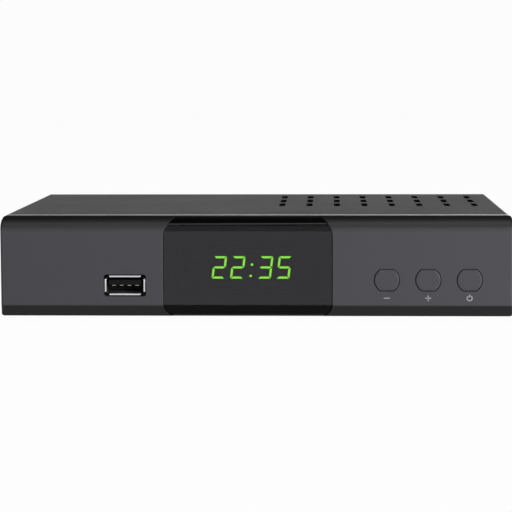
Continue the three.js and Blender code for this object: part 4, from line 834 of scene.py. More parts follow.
# Painted shade: the tongue is darker and duller than the other black mouldings, for the shade inside the
# port.
shaded_socket_black = make_finish("shaded_socket_black", (0.003, 0.003, 0.003), 0.5, grain=(2500, 20), dust=0,
                           specular=0.12)
tongue_z, tongue_end = usb_z + USB_TONGUE_RISE, usb_low.y + USB_LENGTH - USB_BLOCK
tongue_tip = usb_low.y + USB_TONGUE_SET
tongue = new_shape()
add_bar(tongue, usb_x, usb_z, *[size - 2 * USB_BLOCK_GAP for size in USB_INNER], tongue_end,
        tongue_end + USB_BLOCK - USB_BLOCK_GAP)
add_bar(tongue, usb_x, tongue_z, *USB_TONGUE, tongue_tip, tongue_end + USB_BLOCK_GAP)
make_piece("usb_contact_tongue", tongue, shaded_socket_black, "black_plastic", "usb_tongue", soften=PLUG_EDGE)
leads = new_shape()
for place in FOUR_PLACES:
    add_bar(leads, usb_x + place * USB_CONTACT_PITCH, tongue_z - USB_TONGUE[1] / 2, *USB_CONTACT,
            tongue_tip + USB_CONTACT_SET, tongue_end)
make_piece("usb_contacts", leads, nickel, soften=USB_EDGE)

# Clock display
# A black epoxy block on the upright board behind the front, with four leaning seven-segment figures and a
# colon. The lit segments glow green through the smoked window.

CLOCK_EDGE = 0.2
CLOCK_MASK_SET = 0.15  # mask, behind the faces of the segments
FIGURE_HEIGHT = 7.4
FIGURE_WIDTH_SHARE = 0.705
FIGURE_PITCH_SHARE = 0.202
FIGURE_LEAN = 0.12
COLON_SHARE = 0.5  # of a figure's pitch, the room that the colon takes
COLON_RISES = (0.92, -2.8)
SEGMENT_WIDTH = 0.68
SEGMENT_GAP = 0.18
SEGMENT_ROUND = 0.05
SEGMENT_EDGE = 0.04
SEGMENT_ROOT = 0.3
COLON_RADIUS = 0.44
# The lit segments of each figure, counted clockwise from the top one, with the middle one last.
LIT_FIGURES = ({0, 1, 6, 4, 3}, {0, 1, 6, 4, 3}, {0, 1, 2, 3, 6}, {0, 5, 6, 2, 3})
GREEN_LIGHT = (0.265, 0.87, 0.035)
GREEN_STRENGTH = 8.2
GLOW_DIP = 0.85  # share of the light where it is weakest
GLOW_SCALE = 700

display_mask = make_finish("display_mask", (0.004, 0.004, 0.004), 0.35, grain=(2500, 20), dust=0)
dim_segment = make_finish("unlit_segment", (0.012, 0.014, 0.011), 0.4, grain=(2500, 20), dust=0)
lit_segment = make_finish("lit_segment", (0.05, 0.2, 0.02), 0.5, grain=(1500, 20), dust=0)
tree = lit_segment.node_tree
dip = [part * GLOW_DIP for part in GREEN_LIGHT]
glow = blend_colors(tree, noise(tree, GLOW_SCALE, detail=1), (*dip, 1), (*GREEN_LIGHT, 1))
feed(tree.nodes["Principled BSDF"], {"Emission Color": glow, "Emission Strength": GREEN_STRENGTH})

clock_low, clock_high = box_mm("clock_display")
clock = (clock_low + clock_high) / 2
mask = new_shape()
add_block(mask, clock_low + Vector((0, CLOCK_MASK_SET, 0)), clock_high)
make_piece("clock_block", mask, display_mask, "display_epoxy", "clock_display", soften=CLOCK_EDGE)
figure_pitch = FIGURE_PITCH_SHARE * (clock_high.x - clock_low.x)
reach, rise = FIGURE_WIDTH_SHARE * figure_pitch / 2, FIGURE_HEIGHT / 2
inner_reach, inner_rise = reach - SEGMENT_WIDTH, rise - SEGMENT_WIDTH
flat = [(SEGMENT_GAP - inner_reach, inner_rise), (inner_reach - SEGMENT_GAP, inner_rise),
        (reach - SEGMENT_GAP, rise), (SEGMENT_GAP - reach, rise)]
tall = [(reach, SEGMENT_GAP), (reach, rise - SEGMENT_GAP), (inner_reach, inner_rise - SEGMENT_GAP),
        (inner_reach, SEGMENT_WIDTH / 2 + SEGMENT_GAP)]
middle_low = [(SEGMENT_GAP - reach, 0), (SEGMENT_GAP - inner_reach, -SEGMENT_WIDTH / 2),
              (inner_reach - SEGMENT_GAP, -SEGMENT_WIDTH / 2)]


def flipped(outline, x_way, y_way):
    """An outline mirrored across one axis or both, still anticlockwise."""
    mirrored = [(x * x_way, y * y_way) for x, y in outline]
    return mirrored if x_way * y_way > 0 else mirrored[::-1]


segments = [flat, tall, flipped(tall, 1, -1), flipped(flat, 1, -1), flipped(tall, -1, -1),
            flipped(tall, -1, 1), middle_low + flipped(middle_low, -1, -1)]
lit, unlit = new_shape(), new_shape()
for place, lit_ones in zip(FOUR_PLACES, LIT_FIGURES):
    middle = (place + math.copysign(COLON_SHARE / 2, place)) * figure_pitch
    for index, outline in enumerate(segments):
        leaning = even_corners([(middle + x + FIGURE_LEAN * y, y) for x, y in outline], SEGMENT_ROUND)
        add_sheet(lit if index in lit_ones else unlit, leaning, [], SEGMENT_ROOT, SEGMENT_EDGE)
for level in COLON_RISES:
    add_sheet(lit, circle(FIGURE_LEAN * level, level, COLON_RADIUS), [], SEGMENT_ROOT, SEGMENT_EDGE)
clock_face = (clock.x, clock_low.y, clock.z)
make_piece("clock_lit_segments", lit, lit_segment, "display_epoxy", None, clock_face, "front")
make_piece("clock_dark_segments", unlit, dim_segment, "display_epoxy", None, clock_face, "front")

# Moulded front
# Dark grey polystyrene, injection moulded: a shallow tray with a curved brow and a bevelled chin, open at
# the back. It plugs into the steel box, and holds the window in a pocket and the keys in three holes.

FRONT_WALL = 2
FRONT_END_ROUND = 0.9
FRONT_HOLE_RIM = 0.07
FRONT_STEP = 0.4  # its top, below the steel cover
FRONT_DEPTH = 7.4
BROW_DROP = 4
BROW_STEPS = 24
CHIN_RISE = 3.7
CHIN_SET = 1.1
CHIN_ROUND = 3
FOOT_ROUND = 0.25
FILLET_STEPS = 5
PRINT_STAND = 0.03  # room in front of the face for the printed marks
POCKET_DEPTH = 1.8
POCKET_RIM = 0.15
WINDOW_GAP = 0.08
WINDOW_BACK = 6.4
WINDOW_TOP_ROUND = 7.2
WINDOW_BOTTOM_ROUND = 3.8
WINDOW_TOP_STRAIGHT = 7
APERTURE = (47, 17)
APERTURE_ROUND = 1.5
KEY_GAP = 0.13
KEY_RADIUS = 4.15
KEY_HALF_FLAT = 3.55
KEY_CORNER = 0.55
USB_HOLE = (14, 7.22)
USB_HOLE_ROUND = 0.9
LIP_WALL = 1.4
LIP_LENGTH = 5.2  # with its root in the front
LIP_ROUND = 1
LIP_GAP = 0.3  # above the tray's floor
LIP_RIM = 0.3
BOSS_HOLE = 1.3
BOSS_RADIUS = 3
BOSS_DRAFT = 0.2
BOSS_EDGE = 0.1
BOSS_START = 0.5
BOSS_LENGTH = 10
BED_MARGIN = 2
BED_HEIGHT = 25
BED_ROUND = 1
BED_DEPTH = 1.3
BED_OVERLAP = 0.1

front_low, front_high = box_mm("front_panel")
face_y = front_low.y + PRINT_STAND
front_half = front_high.x
foot_z, cover_top = front_low.z, box_mm("top_cover")[1].z
front_top = cover_top - FRONT_STEP
front_depth = FRONT_DEPTH - PRINT_STAND
brow_z = front_top - BROW_DROP
window_low, window_high = box_mm("display_window")
window_x, window_width = (window_low.x + window_high.x) / 2, window_high.x - window_low.x


def path_lengths(path):
    """How far along a path each of its points lies."""
    lengths = [0]
    for before, after in zip(path, path[1:]):
        lengths.append(lengths[-1] + (after - before).length)
    return lengths


def rounded(corner, before, after, radius):
    """Points that take a path of (y, z) round a corner."""
    to_before, to_after = (before - corner).normalized(), (after - corner).normalized()
    reach = radius / math.tan(to_before.angle(to_after) / 2)
    start, end = corner + to_before * reach, corner + to_after * reach
    shares = [step / FILLET_STEPS for step in range(FILLET_STEPS + 1)]
    return [start.lerp(corner, share).lerp(corner.lerp(end, share), share) for share in shares]


def brow_points(sunk, top_sunk, begin, depth):
    """Points up the brow, from an angle off the face to a depth behind it."""
    reach, rise = front_depth - sunk, BROW_DROP - top_sunk
    end = math.acos((front_depth - depth) / reach)
    turns = [begin + (end - begin) * step / BROW_STEPS for step in range(BROW_STEPS + 1)]
    return [Vector((front_depth - reach * math.cos(turn), brow_z + rise * math.sin(turn))) for turn in turns]


def path_place(path, height):
    """How far along a rising path a height is reached."""
    lengths = path_lengths(path)
    for part, (before, after) in enumerate(zip(path, path[1:])):
        if before.y < after.y >= height:
            share = (height - before.y) / (after.y - before.y)
            return lengths[part] + share * (lengths[part + 1] - lengths[part])
    return lengths[-1]


def settle_on(path):
    """A rule that takes vertices from their height above the table to its place along a path."""
    def settle(ring):
        for vert in ring:
            below = min(vert.co.y - foot_z, 0)
            vert.co.y = path_place(path, max(vert.co.y, foot_z)) + below
    return settle


def bend_over(shape, path):
    """Bend a flat sheet over a path of (y, z) points. Its y runs along the path and its top faces out."""
    lengths = path_lengths(path)
    for level in lengths[1:-1]:
        cut_at(shape, 1, level)
    ways = [(after - before).normalized() for before, after in zip(path, path[1:])]
    mitres = []
    for before, after in zip(ways[:1] + ways, ways + ways[-1:]):
        mean = (before + after).normalized()
        mitres.append(Vector((-mean.y, mean.x)) / mean.dot(after))
    for vert in shape.verts:
        part = 0
        while part < len(ways) - 1 and vert.co.y > lengths[part + 1]:
            part += 1
        share = (vert.co.y - lengths[part]) / (lengths[part + 1] - lengths[part])
        foot = path[part].lerp(path[part + 1], share)
        vert.co.y, vert.co.z = foot + mitres[part].lerp(mitres[part + 1], share) * vert.co.z


def window_corners(margin, height):
    """The window's outline seen from the front, grown by a margin and cut off at a height."""
    high, low = cover_top - WINDOW_TOP_STRAIGHT, foot_z + WINDOW_BOTTOM_ROUND
    top_round, low_round = WINDOW_TOP_ROUND + margin, WINDOW_BOTTOM_ROUND + margin
    left, right = window_low.x - margin, window_high.x + margin
    turn = math.asin((height - high) / top_round)
    return [
        (right - low_round, low, low_round, -math.pi / 2, 0), (right - top_round, high, top_round, 0, turn),
        (left + top_round, high, top_round, math.pi - turn, math.pi),
        (left + low_round, low, low_round, math.pi, 1.5 * math.pi)]


def key_corners(x, z, margin):
    """A key's outline: a circle cut flat above and below, grown by a margin."""
    radius, rise = KEY_RADIUS + margin, KEY_HALF_FLAT + margin - KEY_CORNER
    reach = math.sqrt((radius - KEY_CORNER) ** 2 - rise ** 2)
    turn, half = math.atan2(rise, reach), math.pi
    return [
        (x, z, radius, -turn, turn), (x + reach, z + rise, KEY_CORNER, turn, half / 2),
        (x - reach, z + rise, KEY_CORNER, half / 2, half - turn), (x, z, radius, half - turn, half + turn),
        (x - reach, z - rise, KEY_CORNER, half + turn, 1.5 * half),
        (x + reach, z - rise, KEY_CORNER, 1.5 * half, 2 * half - turn)]


def draw_frame(shape, half, depth, length):
    """Draw the four edges of a rectangle that reaches along the whole path. Returns them."""
    spots = [(-half, 0, -depth), (half, 0, -depth), (half, length, -depth), (-half, length, -depth)]
    verts = [shape.verts.new(spot) for spot in spots]
    return [shape.edges.new(pair) for pair in zip(verts, verts[1:] + verts[:1])]


def fade_to(finish, color, begin, end):
    """Let a finish go over into a colour between two heights."""
    tree = finish.node_tree
    height = add_node(tree, "ShaderNodeSeparateXYZ", {0: object_spots(tree)}).outputs["Z"]
    share = add_node(tree, "ShaderNodeMapRange", {0: height, 1: begin * MM, 2: end * MM}).outputs[0]
    tone = tree.nodes["Principled BSDF"].inputs["Base Color"]
    tree.links.new(blend_colors(tree, share, tone.links[0].from_socket, (*color, 1)), tone)


foot_back, chin_foot = Vector((front_depth, foot_z)), Vector((CHIN_SET, foot_z))
chin_top, brow_start = Vector((0, foot_z + CHIN_RISE)), Vector((0, brow_z))
front_path = [foot_back, *rounded(chin_foot, foot_back, chin_top, FOOT_ROUND),
              *rounded(chin_top, chin_foot, brow_start, CHIN_ROUND), *brow_points(0, 0, 0, front_depth)]
front_length = path_lengths(front_path)[-1]
face_shift = path_place(front_path, brow_z) - brow_z  # from a height on the face to its place on the path
key_spots = {name: middle_mm(f"{name}_button") for name in KEYS}

front = new_shape()
pocket_top = brow_points(0, 0, 0, WINDOW_BACK + WINDOW_GAP)[-1].y
upper, floor = draw_wall(front, window_corners(WINDOW_GAP, pocket_top), 1, POCKET_DEPTH, POCKET_RIM,
                         settle=settle_on(front_path))
sight = draw_loop(front, rectangle(window_x, clock.z + face_shift, *APERTURE, APERTURE_ROUND))
bmesh.ops.translate(front, vec=(0, 0, -POCKET_DEPTH), verts=sight)
bmesh.ops.triangle_fill(front, edges=floor + ring_edges(sight), use_beauty=True)
lower = ring_edges(draw_down(front, sight, 0, FRONT_WALL - POCKET_DEPTH))
face_holes = [key_corners(spot.x, spot.z + face_shift, KEY_GAP) for spot in key_spots.values()]
for corners in face_holes + [rectangle(usb_x, usb_z + face_shift, *USB_HOLE, USB_HOLE_ROUND)]:
    ends = draw_wall(front, corners, 1, FRONT_WALL, FRONT_HOLE_RIM)
    upper, lower = upper + ends[0], lower + ends[1]
skin_half, inner_half = front_half - FRONT_END_ROUND, front_half - FRONT_WALL
skin = draw_frame(front, skin_half, 0, front_length)
inner = draw_frame(front, inner_half, FRONT_WALL, front_length)
bmesh.ops.triangle_fill(front, edges=upper + skin, use_beauty=True)
bmesh.ops.triangle_fill(front, edges=lower + inner, use_beauty=True)
for side_edge, side in ((skin[1], 1), (skin[3], -1)):
    drawn = [side_edge]
    for step in range(1, FILLET_STEPS + 1):
        turn = math.pi / 2 * step / FILLET_STEPS
        grown = bmesh.ops.extrude_edge_only(front, edges=drawn)["geom"]
        ends = [item for item in grown if isinstance(item, bmesh.types.BMVert)]
        drawn = [front.edges.get(ends)]
        for vert in ends:
            vert.co.x = side * (skin_half + FRONT_END_ROUND * math.sin(turn))
            vert.co.z = -FRONT_END_ROUND * (1 - math.cos(turn))
bend_over(front, front_path)
for end_x in (-front_half, front_half, -inner_half, inner_half):
    rim = [edge for edge in front.edges
           if edge.is_boundary and all(abs(vert.co.x - end_x) < JOIN_REACH for vert in edge.verts)]
    ends = [vert for edge in rim for vert in edge.verts if len(set(vert.link_edges).intersection(rim)) == 1]
    bmesh.ops.contextual_create(front, geom=rim + [front.edges.new(ends)])
bmesh.ops.triangle_fill(front, edges=[edge for edge in front.edges if edge.is_boundary], use_beauty=True)
bmesh.ops.translate(front, vec=(0, face_y, 0), verts=front.verts)
lip_low, lip_high = tray_foot + SHEET + LIP_GAP, tray_high.z
lip_z, lip_width, lip_height = (lip_low + lip_high) / 2, 2 * tray_high.x, lip_high - lip_low
lip = add_sheet(front, rectangle(0, lip_z, lip_width, lip_height, LIP_ROUND),
                [rectangle(0, lip_z, lip_width - 2 * LIP_WALL, lip_height - 2 * LIP_WALL, LIP_ROUND / 2)],
                LIP_LENGTH, LIP_RIM)
put(front, lip, (0, front_high.y, 0), "back")
for index in range(1, 4):
    screw = middle_mm(f"display_screw_{index}")
    boss = add_turned(front, [
        (BOSS_HOLE, BOSS_START), (BOSS_RADIUS + BOSS_DRAFT, BOSS_START),
        (BOSS_RADIUS, BOSS_LENGTH - BOSS_EDGE), (BOSS_RADIUS - BOSS_EDGE, BOSS_LENGTH),
        (BOSS_HOLE, BOSS_LENGTH)], closed=True)
    put(front, boss, (screw.x, front_low.y + FRONT_WALL, screw.z), "back")
bed = add_sheet(front, rectangle(window_x, clock.z, window_width + 2 * BED_MARGIN, BED_HEIGHT, BED_ROUND),
                [rectangle(window_x, clock.z, *APERTURE, APERTURE_ROUND)], BED_DEPTH, 0)
put(front, bed, (0, front_low.y + FRONT_WALL - BED_OVERLAP, 0), "front")

# Painted shade: the base colour darkens over the brow and the chin, where less light falls on a rounded
# front.
BROW_CHIN_SHADE_COLOR = (0.0045, 0.0045, 0.005)
BROW_SHADE_FADE = (29.6, 33.8)  # heights between which the face goes over into the painted shade of the brow
CHIN_SHADE_FADE = (5.9, 5.3)
grey_plastic = make_finish("grey_moulding", (0.056, 0.055, 0.062), 0.5, grain=(3200, 25),
                           drift=0.05, rub=0.12, rub_color=(0.08, 0.08, 0.085), dust=0.03, grease=0.1,
                           specular=0.25)
for fade in (BROW_SHADE_FADE, CHIN_SHADE_FADE):
    fade_to(grey_plastic, BROW_CHIN_SHADE_COLOR, *fade)
make_piece("front_moulding", front, grey_plastic, "front_plastic", "front_panel")

# Window
# Smoked acrylic, polished, moulded with a crease below the brow and bent under over the chin. It is stuck in
# the front's pocket, its face a little below the grey. Above the crease and on the chin it is printed black,
# and the print's dull, weak reflection is painted shade for the dark surroundings those bands mirror.

WINDOW_SUNK = 0.45
WINDOW_TOP_SUNK = 0.2
WINDOW_THICKNESS = 1.2
WINDOW_RIM = 0.18
WINDOW_CHIN_ROUND = 0.9
CREASE_ANGLE = 0.35
CREASE_DROP = 0.6
CREASE_ROUND = 0.5
UPPER_CREASE_ROUND = 0.22
RIM_STEPS = 4
ACRYLIC_IOR = 1.45
ACRYLIC_SHEEN = (0.94, 0.93, 1, 1)

acrylic = make_finish("smoked_acrylic", (0.12, 0.12, 0.12), 0.03, grain=(60, 4), drift=0,
                      dust=0.01, grease=0.03)
feed(acrylic.node_tree.nodes["Principled BSDF"], {
    "Transmission Weight": 1, "IOR": ACRYLIC_IOR, "Specular Tint": ACRYLIC_SHEEN})
# Painted shade: black print with almost no reflection, for the window's brow and chin.
black_print_shade = make_finish("black_print_shade", (0.002, 0.002, 0.002), 0.12, grain=(60, 4),
                          drift=0, dust=0.01, grease=0.03, specular=0.07)
window_foot, window_chin = chin_foot + Vector((WINDOW_SUNK, 0)), chin_top + Vector((WINDOW_SUNK, 0))
window_crease = brow_start + Vector((WINDOW_SUNK, -CREASE_DROP))
window_brow = brow_points(WINDOW_SUNK, WINDOW_TOP_SUNK, CREASE_ANGLE, WINDOW_BACK)
window_path = [window_foot, *rounded(window_chin, window_foot, window_crease, WINDOW_CHIN_ROUND),
               *rounded(window_crease, window_chin, window_brow[0], CREASE_ROUND),
               *rounded(window_brow[0], window_crease, window_brow[1], UPPER_CREASE_ROUND), *window_brow[1:]]
window = new_shape()
add_sheet(window, window_corners(0, window_brow[-1].y), [], WINDOW_THICKNESS, WINDOW_RIM,
          rim_steps=RIM_STEPS, settle=settle_on(window_path))
bend_over(window, window_path)
smoked_window = make_piece("smoked_window", window, acrylic, "smoked_acrylic", "display_window",
                           (0, face_y, 0))
# The window's brow and chin get the black print, which is also painted shade.
paint_faces(smoked_window, black_print_shade, lambda spot, normal: not chin_top.y < spot.z < window_brow[0].y)

# Keys
# Three caps moulded in the front's grey polystyrene. Behind the face a collar keeps each one in its hole,
# and a stem reaches its switch. The marks below them are printed in pale grey.

KEY_RIM = 0.45
KEY_CAP_DEPTH = 3.3
KEY_COLLAR = 1.2
KEY_COLLAR_DEPTH = 1
KEY_COLLAR_RIM = 0.1
KEY_STEM_RADIUS = 1.75
MARK_Z = 8.1
MARK_REACH = 1.0
MARK_LINE = 0.32
MARK_DEPTH = 0.1
MARK_STAND = 0.01
STANDBY_RISE = 0.8
STANDBY_GAP = math.radians(32)

for name, spot in key_spots.items():
    low, high = box_mm(f"{name}_button")
    cap = new_shape()
    add_sheet(cap, key_corners(0, 0, 0), [], KEY_CAP_DEPTH, KEY_RIM, rim_steps=RIM_STEPS)
    collar = add_sheet(cap, key_corners(0, 0, KEY_COLLAR), [], KEY_COLLAR_DEPTH, KEY_COLLAR_RIM)
    put(cap, collar, (0, 0, KEY_COLLAR_DEPTH - KEY_CAP_DEPTH))
    end, root = low.y - high.y, -KEY_CAP_DEPTH / 2
    add_turned(cap, [(0, end), (KEY_STEM_RADIUS, end), (KEY_STEM_RADIUS, root), (0, root)])
    make_piece(f"{name}_key", cap, grey_plastic, "front_plastic", f"{name}_button", (spot.x, face_y, spot.z),
               "front", f"{name}_button")

mark_print = make_finish("mark_print", (0.33, 0.33, 0.34), 0.5, grain=(4000, 20), dust=0)
marks = new_shape()
minus_x, plus_x, standby_x = [spot.x for spot in key_spots.values()]
mark_bars = [(minus_x, 0, 2 * MARK_REACH, MARK_LINE), (plus_x, 0, 2 * MARK_REACH, MARK_LINE),
             (plus_x, 0, MARK_LINE, 2 * MARK_REACH), (standby_x, STANDBY_RISE, MARK_LINE, MARK_REACH)]
for x, z, width, height in mark_bars:
    add_sheet(marks, rectangle(x, MARK_Z + z, width, height, MARK_LINE / 4), [], MARK_DEPTH, 0)
ring_begin, ring_end = math.pi / 2 + STANDBY_GAP, 2.5 * math.pi - STANDBY_GAP
add_sheet(marks, [(standby_x, MARK_Z, MARK_REACH, ring_begin, ring_end),
                  (standby_x, MARK_Z, MARK_REACH - MARK_LINE, ring_end, ring_begin)], [], MARK_DEPTH, 0)
make_piece("key_marks", marks, mark_print, spot=(0, front_low.y + MARK_STAND, 0), facing="front")

# Steel cover
# The top and both sides are one sheet of 0.8 mm steel, folded down at the sides and at the back, punched
# with slots in the right half of its top and along both sides, and powder coated black. Its front edge
# carries a painted highlight, bright metal at the top fading to dark below, and the slot walls carry
# painted shade.

COVER_FOLD_RADIUS = 1.5
COVER_TAB_INSET = 2.4
COVER_TAB_LOW = 28
COVER_CORNER = 1.2
COVER_SLIT_ROUND = 0.2
TOP_SLOT = (1.9, 12.6)
TOP_SLOT_COLUMNS = 8
TOP_SLOT_PITCH = 9.63
TOP_SLOT_INSET = 8.6
TOP_SLOT_ROWS = (18, 37, 56)  # in from the back edge
SIDE_SLOT = (11, 2)
SIDE_SLOT_COUNT = 8
SIDE_SLOT_PITCH = 6.5
SIDE_SLOT_FIRST = 20
SIDE_SLOT_Z = 20
EDGE_REACH = 0.28  # the painted highlight on the front edge, from its top
EDGE_FACE_SHARE = 0.5  # of a face's normal that points forward
LEVEL_FACE_SHARE = 0.95
FRONT_STRIP = 1  # behind the front edge, without slots
HIGHLIGHT_FADE = 0.1
UNDER_HIGHLIGHT_COLOR = (0.02, 0.02, 0.02)

cover_low, cover_high = box_mm("top_cover")
side_place = cover_high.x - COVER_FOLD_RADIUS
back_place = cover_high.y - TRAY_FOLD_RADIUS


def down_side(z):
    """Where a height on the cover's side lies on the flat sheet."""
    return side_place + COVER_FOLD_RADIUS * (math.pi / 2 - 1) + cover_high.z - z


def down_back(z):
    """Where a height on the cover's back fold lies on the flat sheet."""
    return back_place + TRAY_FOLD_RADIUS * (math.pi / 2 - 1) + cover_high.z - z


tab_half = cover_high.x - COVER_TAB_INSET
side_low, slit_half, slit_end = down_side(cover_low.z), tab_half + TRAY_RELIEF, back_place - TRAY_RELIEF
half_cover = [
    (side_low, cover_low.y, COVER_CORNER), (side_low, cover_high.y, COVER_CORNER),
    (slit_half, cover_high.y, COVER_SLIT_ROUND), (slit_half, slit_end, COVER_SLIT_ROUND),
    (tab_half, slit_end, COVER_SLIT_ROUND), (tab_half, down_back(COVER_TAB_LOW), COVER_CORNER)]
cover_holes = [
    rectangle(cover_high.x - TOP_SLOT_INSET - column * TOP_SLOT_PITCH, cover_high.y - row, *TOP_SLOT,
              TOP_SLOT[0] / 2)
    for row in TOP_SLOT_ROWS for column in range(TOP_SLOT_COLUMNS)]
for side in (-1, 1):
    for index in range(SIDE_SLOT_COUNT):
        cover_holes.append(rectangle(
            side * down_side(SIDE_SLOT_Z), cover_low.y + SIDE_SLOT_FIRST + index * SIDE_SLOT_PITCH,
            *SIDE_SLOT, SIDE_SLOT[1] / 2))
    cover_holes.append(circle(side * down_side(side_screw.z), side_screw.y, SCREW_HOLE))
    cover_holes.append(circle(side * rear_screw.x, down_back(rear_screw.z), SCREW_HOLE))
cover = new_shape()
add_sheet(cover, mirror_corners(half_cover), cover_holes, SHEET, COATED_RIM, COATED_RIM, COATED_RIM_STEPS)
for place in (side_place, -side_place):
    fold_down(cover, 0, place, COVER_FOLD_RADIUS, lambda spot: True)
fold_down(cover, 1, back_place, TRAY_FOLD_RADIUS, lambda spot: abs(spot.x) < tab_half + COVER_SLIT_ROUND)
steel_cover = make_piece("steel_cover", cover, coated_steel, "painted_steel", "top_cover",
                         (0, 0, cover_high.z))
# Painted highlight: a bright metal band along the top of the cover's front edge, fading to dark below it.
edge_highlight = make_finish("edge_highlight", (0.42, 0.42, 0.425), 0.45, grain=(2000, 10),
                           metallic=0.6, drift=0.1)
edge_low = cover_high.z - EDGE_REACH
fade_to(edge_highlight, UNDER_HIGHLIGHT_COLOR, edge_low, edge_low - HIGHLIGHT_FADE)
# Painted shade: the walls of the slots are a darker, duller copy of the coat, for the shadow inside them.
slot_shade = make_finish("slot_shade", (0.006, 0.006, 0.006), 0.7, grain=(2000, 20), dust=0, specular=0.1)
paint_faces(steel_cover, edge_highlight, lambda spot, normal: (
    spot.y < cover_low.y + EDGE_REACH / 4 and normal.y < -EDGE_FACE_SHARE))
paint_faces(steel_cover, slot_shade, lambda spot, normal: (
    abs(normal.z) < LEVEL_FACE_SHARE and spot.z > cover_high.z - SHEET and abs(spot.x) < side_place
    and cover_low.y + FRONT_STRIP < spot.y < back_place))

# Screws
# Pan-head screws with a cross recess: four blackened ones hold the cover to the tray, and zinc-plated ones
# hold the two boards.

HEAD_RADIUS = 2.7
HEAD_HEIGHT = 1.7
HEAD_ROLL = 0.6
HEAD_CROWN = 0.35
CROSS_LENGTH = 2.6
CROSS_WIDTH = 0.6
CROSS_DEPTH = 0.9
CROSS_ROUND = 0.08
THREAD_PITCH = 1
THREAD_DEPTH = 0.16
THREAD_SHARES = (0.2, 0.5, 0.8)  # of a pitch, where a thread starts, peaks and ends

black_screw = make_finish("blackened_steel", (0.022, 0.022, 0.024), 0.38, grain=(1500, 8), metallic=0.7,
                          rub=0.5)
zinc = make_finish("zinc_plate", (0.4, 0.41, 0.4), 0.32, grain=(1200, 6), metallic=1)
COVER_SCREW = (1.3, 5, black_screw, "black_screw_steel")  # radius, length, finish and its name
BOARD_SCREW = (1.3, 5.5, zinc, "zinc_steel")
UPRIGHT_SCREW = (1, 5.5, zinc, "zinc_steel")
arm, waist = CROSS_LENGTH / 2, CROSS_WIDTH / 2
cross_outline = even_corners([
    (waist, -arm), (waist, -waist), (arm, -waist), (arm, waist), (waist, waist), (waist, arm), (-waist, arm),
    (-waist, waist), (-arm, waist), (-arm, -waist), (-waist, -waist), (-waist, -arm)], CROSS_ROUND)


def make_screw(name, node, facing, radius, length, material, slot):
    """A screw that stands for a node, its head facing the way it is driven from."""
    low, high = box_mm(node)
    axis = {"up": 2, "back": 1, "left": 0, "right": 0}[facing]
    seat = (low + high) / 2
    seat[axis] = low[axis] + HEAD_HEIGHT if facing == "left" else high[axis] - HEAD_HEIGHT
    screw = new_shape()
    head = add_floored_sheet(screw, circle(0, 0, HEAD_RADIUS), [cross_outline], CROSS_DEPTH, HEAD_HEIGHT,
                             HEAD_ROLL, rim_steps=RIM_STEPS)
    for vert in head:
        vert.co.z -= HEAD_CROWN * (vert.co.xy.length / HEAD_RADIUS) ** 2 * (vert.co.z / CROSS_DEPTH + 1)
    put(screw, screw.verts, (0, 0, HEAD_HEIGHT))
    root = radius - THREAD_DEPTH
    profile = [(0, -length), (radius / 2, -length), (root, radius - length)]
    for index in range(int((length - radius) / THREAD_PITCH), 0, -1):
        for share, reach in zip(THREAD_SHARES, (root, radius, root)):
            profile.append((reach, (share - index) * THREAD_PITCH))
    add_turned(screw, profile + [(radius, 0), (0, 0)], steps=ROUND_STEPS // 2)
    make_piece(name, screw, material, slot, node, seat, facing)


for side in ("left", "right"):
    make_screw(f"{side}_cover_screw", f"cover_screw_{side}", side, *COVER_SCREW)
    make_screw(f"{side}_rear_screw", f"cover_screw_rear_{side}", "back", *COVER_SCREW)
for index in range(1, 5):
    make_screw(f"main_board_screw_{index}", f"board_screw_{index}", "up", *BOARD_SCREW)
for index in range(1, 4):
    make_screw(f"upright_board_screw_{index}", f"display_screw_{index}", "back", *UPRIGHT_SCREW)

# Studio
# A plain white table whose edge turns up all round, with a soft lamp low at the front right, a wide weak
# one high in front and one above.

STUDIO_WHITE = (0.85, 0.85, 0.85, 1)
TABLE_RADIUS = 2.6
TABLE_BEND = 0.5
TABLE_BEND_STEPS = 12
TABLE_RIM = 0.62
TABLE_STEPS = 96
TABLE_ROUGHNESS = 0.9
SEEN_WHITE = 0.97  # share of plain white in what the camera and mirrors see of the table
SKY_STRENGTH = 0.03
LAMPS = (  # name, place, width, height, watts
    ("front_lamp", (1, -1, 0.2), 0.9, 0.3, 20),
    ("high_card", (0, -1.85, 0.78), 2, 0.95, 2.8),
    ("top_lamp", (0.1, -0.1, 1.5), 1.5, 0.3, 8))
LAMP_TARGET = (0, 0, 0.02)
LENS = 133.92
SENSOR = 36
CAMERA_NEAR = 0.01
CAMERA_SPOT = (0.02387, -0.6193, 0.08415)  # along Y from the front of the object
CAMERA_TILT = 5.733  # these three in degrees
CAMERA_PAN = 2.192
CAMERA_ROLL = -0.183

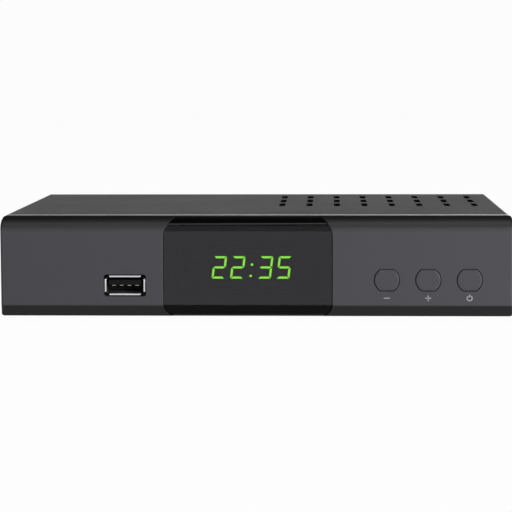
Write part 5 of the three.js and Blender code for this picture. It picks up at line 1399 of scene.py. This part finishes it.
turns = [math.pi / 2 * step / TABLE_BEND_STEPS for step in range(TABLE_BEND_STEPS + 1)]
bend = [(TABLE_RADIUS + TABLE_BEND * math.sin(turn), TABLE_BEND * (1 - math.cos(turn))) for turn in turns]
table_shape = bmesh.new()
add_turned(table_shape, [(0, 0), *bend, (TABLE_RADIUS + TABLE_BEND, TABLE_RIM)], steps=TABLE_STEPS)
bmesh.ops.recalc_face_normals(table_shape, faces=table_shape.faces)
table_mesh = bpy.data.meshes.new("studio_table")
table_shape.to_mesh(table_mesh)
table_shape.free()
table_mesh.shade_smooth()
table = add_object("studio_table", table_mesh)
table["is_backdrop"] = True
table_white = bpy.data.materials.new("table_white")
table_white.use_nodes = True
tree = table_white.node_tree
paint = tree.nodes["Principled BSDF"]
feed(paint, {"Base Color": STUDIO_WHITE, "Roughness": TABLE_ROUGHNESS, "Specular IOR Level": 0})
seen = add_node(tree, "ShaderNodeLightPath").outputs
seen = maths(tree, "MAXIMUM", maths(tree, "MAXIMUM", seen["Is Camera Ray"], seen["Is Glossy Ray"]),
             seen["Is Transmission Ray"])
plain = add_node(tree, "ShaderNodeEmission", {"Color": (1, 1, 1, 1), "Strength": 1})
mixed = add_node(tree, "ShaderNodeMixShader", {
    0: maths(tree, "MULTIPLY", seen, SEEN_WHITE), 1: paint.outputs[0], 2: plain.outputs[0]})
feed(tree.nodes["Material Output"], {"Surface": mixed.outputs[0]})
table_mesh.materials.append(table_white)

world = bpy.data.worlds.new("studio")
bpy.context.scene.world = world
world.use_nodes = True
feed(world.node_tree.nodes["Background"], {"Color": (1, 1, 1, 1), "Strength": SKY_STRENGTH})

for name, spot, width, height, watts in LAMPS:
    light = bpy.data.lights.new(name, "AREA")
    light.shape = "RECTANGLE"
    light.size, light.size_y, light.energy = width, height, watts
    lamp = add_object(name, light)
    lamp.location = spot
    lamp.rotation_euler = (Vector(LAMP_TARGET) - Vector(spot)).to_track_quat("-Z", "Y").to_euler()

camera_data = bpy.data.cameras.new("camera")
camera_data.sensor_width = SENSOR
camera_data.lens = LENS
camera_data.clip_start = CAMERA_NEAR
camera = add_object("camera", camera_data)
camera.matrix_world = (
    Matrix.Translation(Vector(CAMERA_SPOT) + Vector((0, front_low.y * MM, 0)))
    @ Euler((math.radians(90 - CAMERA_TILT), 0, math.radians(CAMERA_PAN))).to_matrix().to_4x4()
    @ Matrix.Rotation(math.radians(CAMERA_ROLL), 4, "Z"))
bpy.context.scene.camera = camera
bpy.context.scene.view_settings.view_transform = "Standard"

low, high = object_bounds()
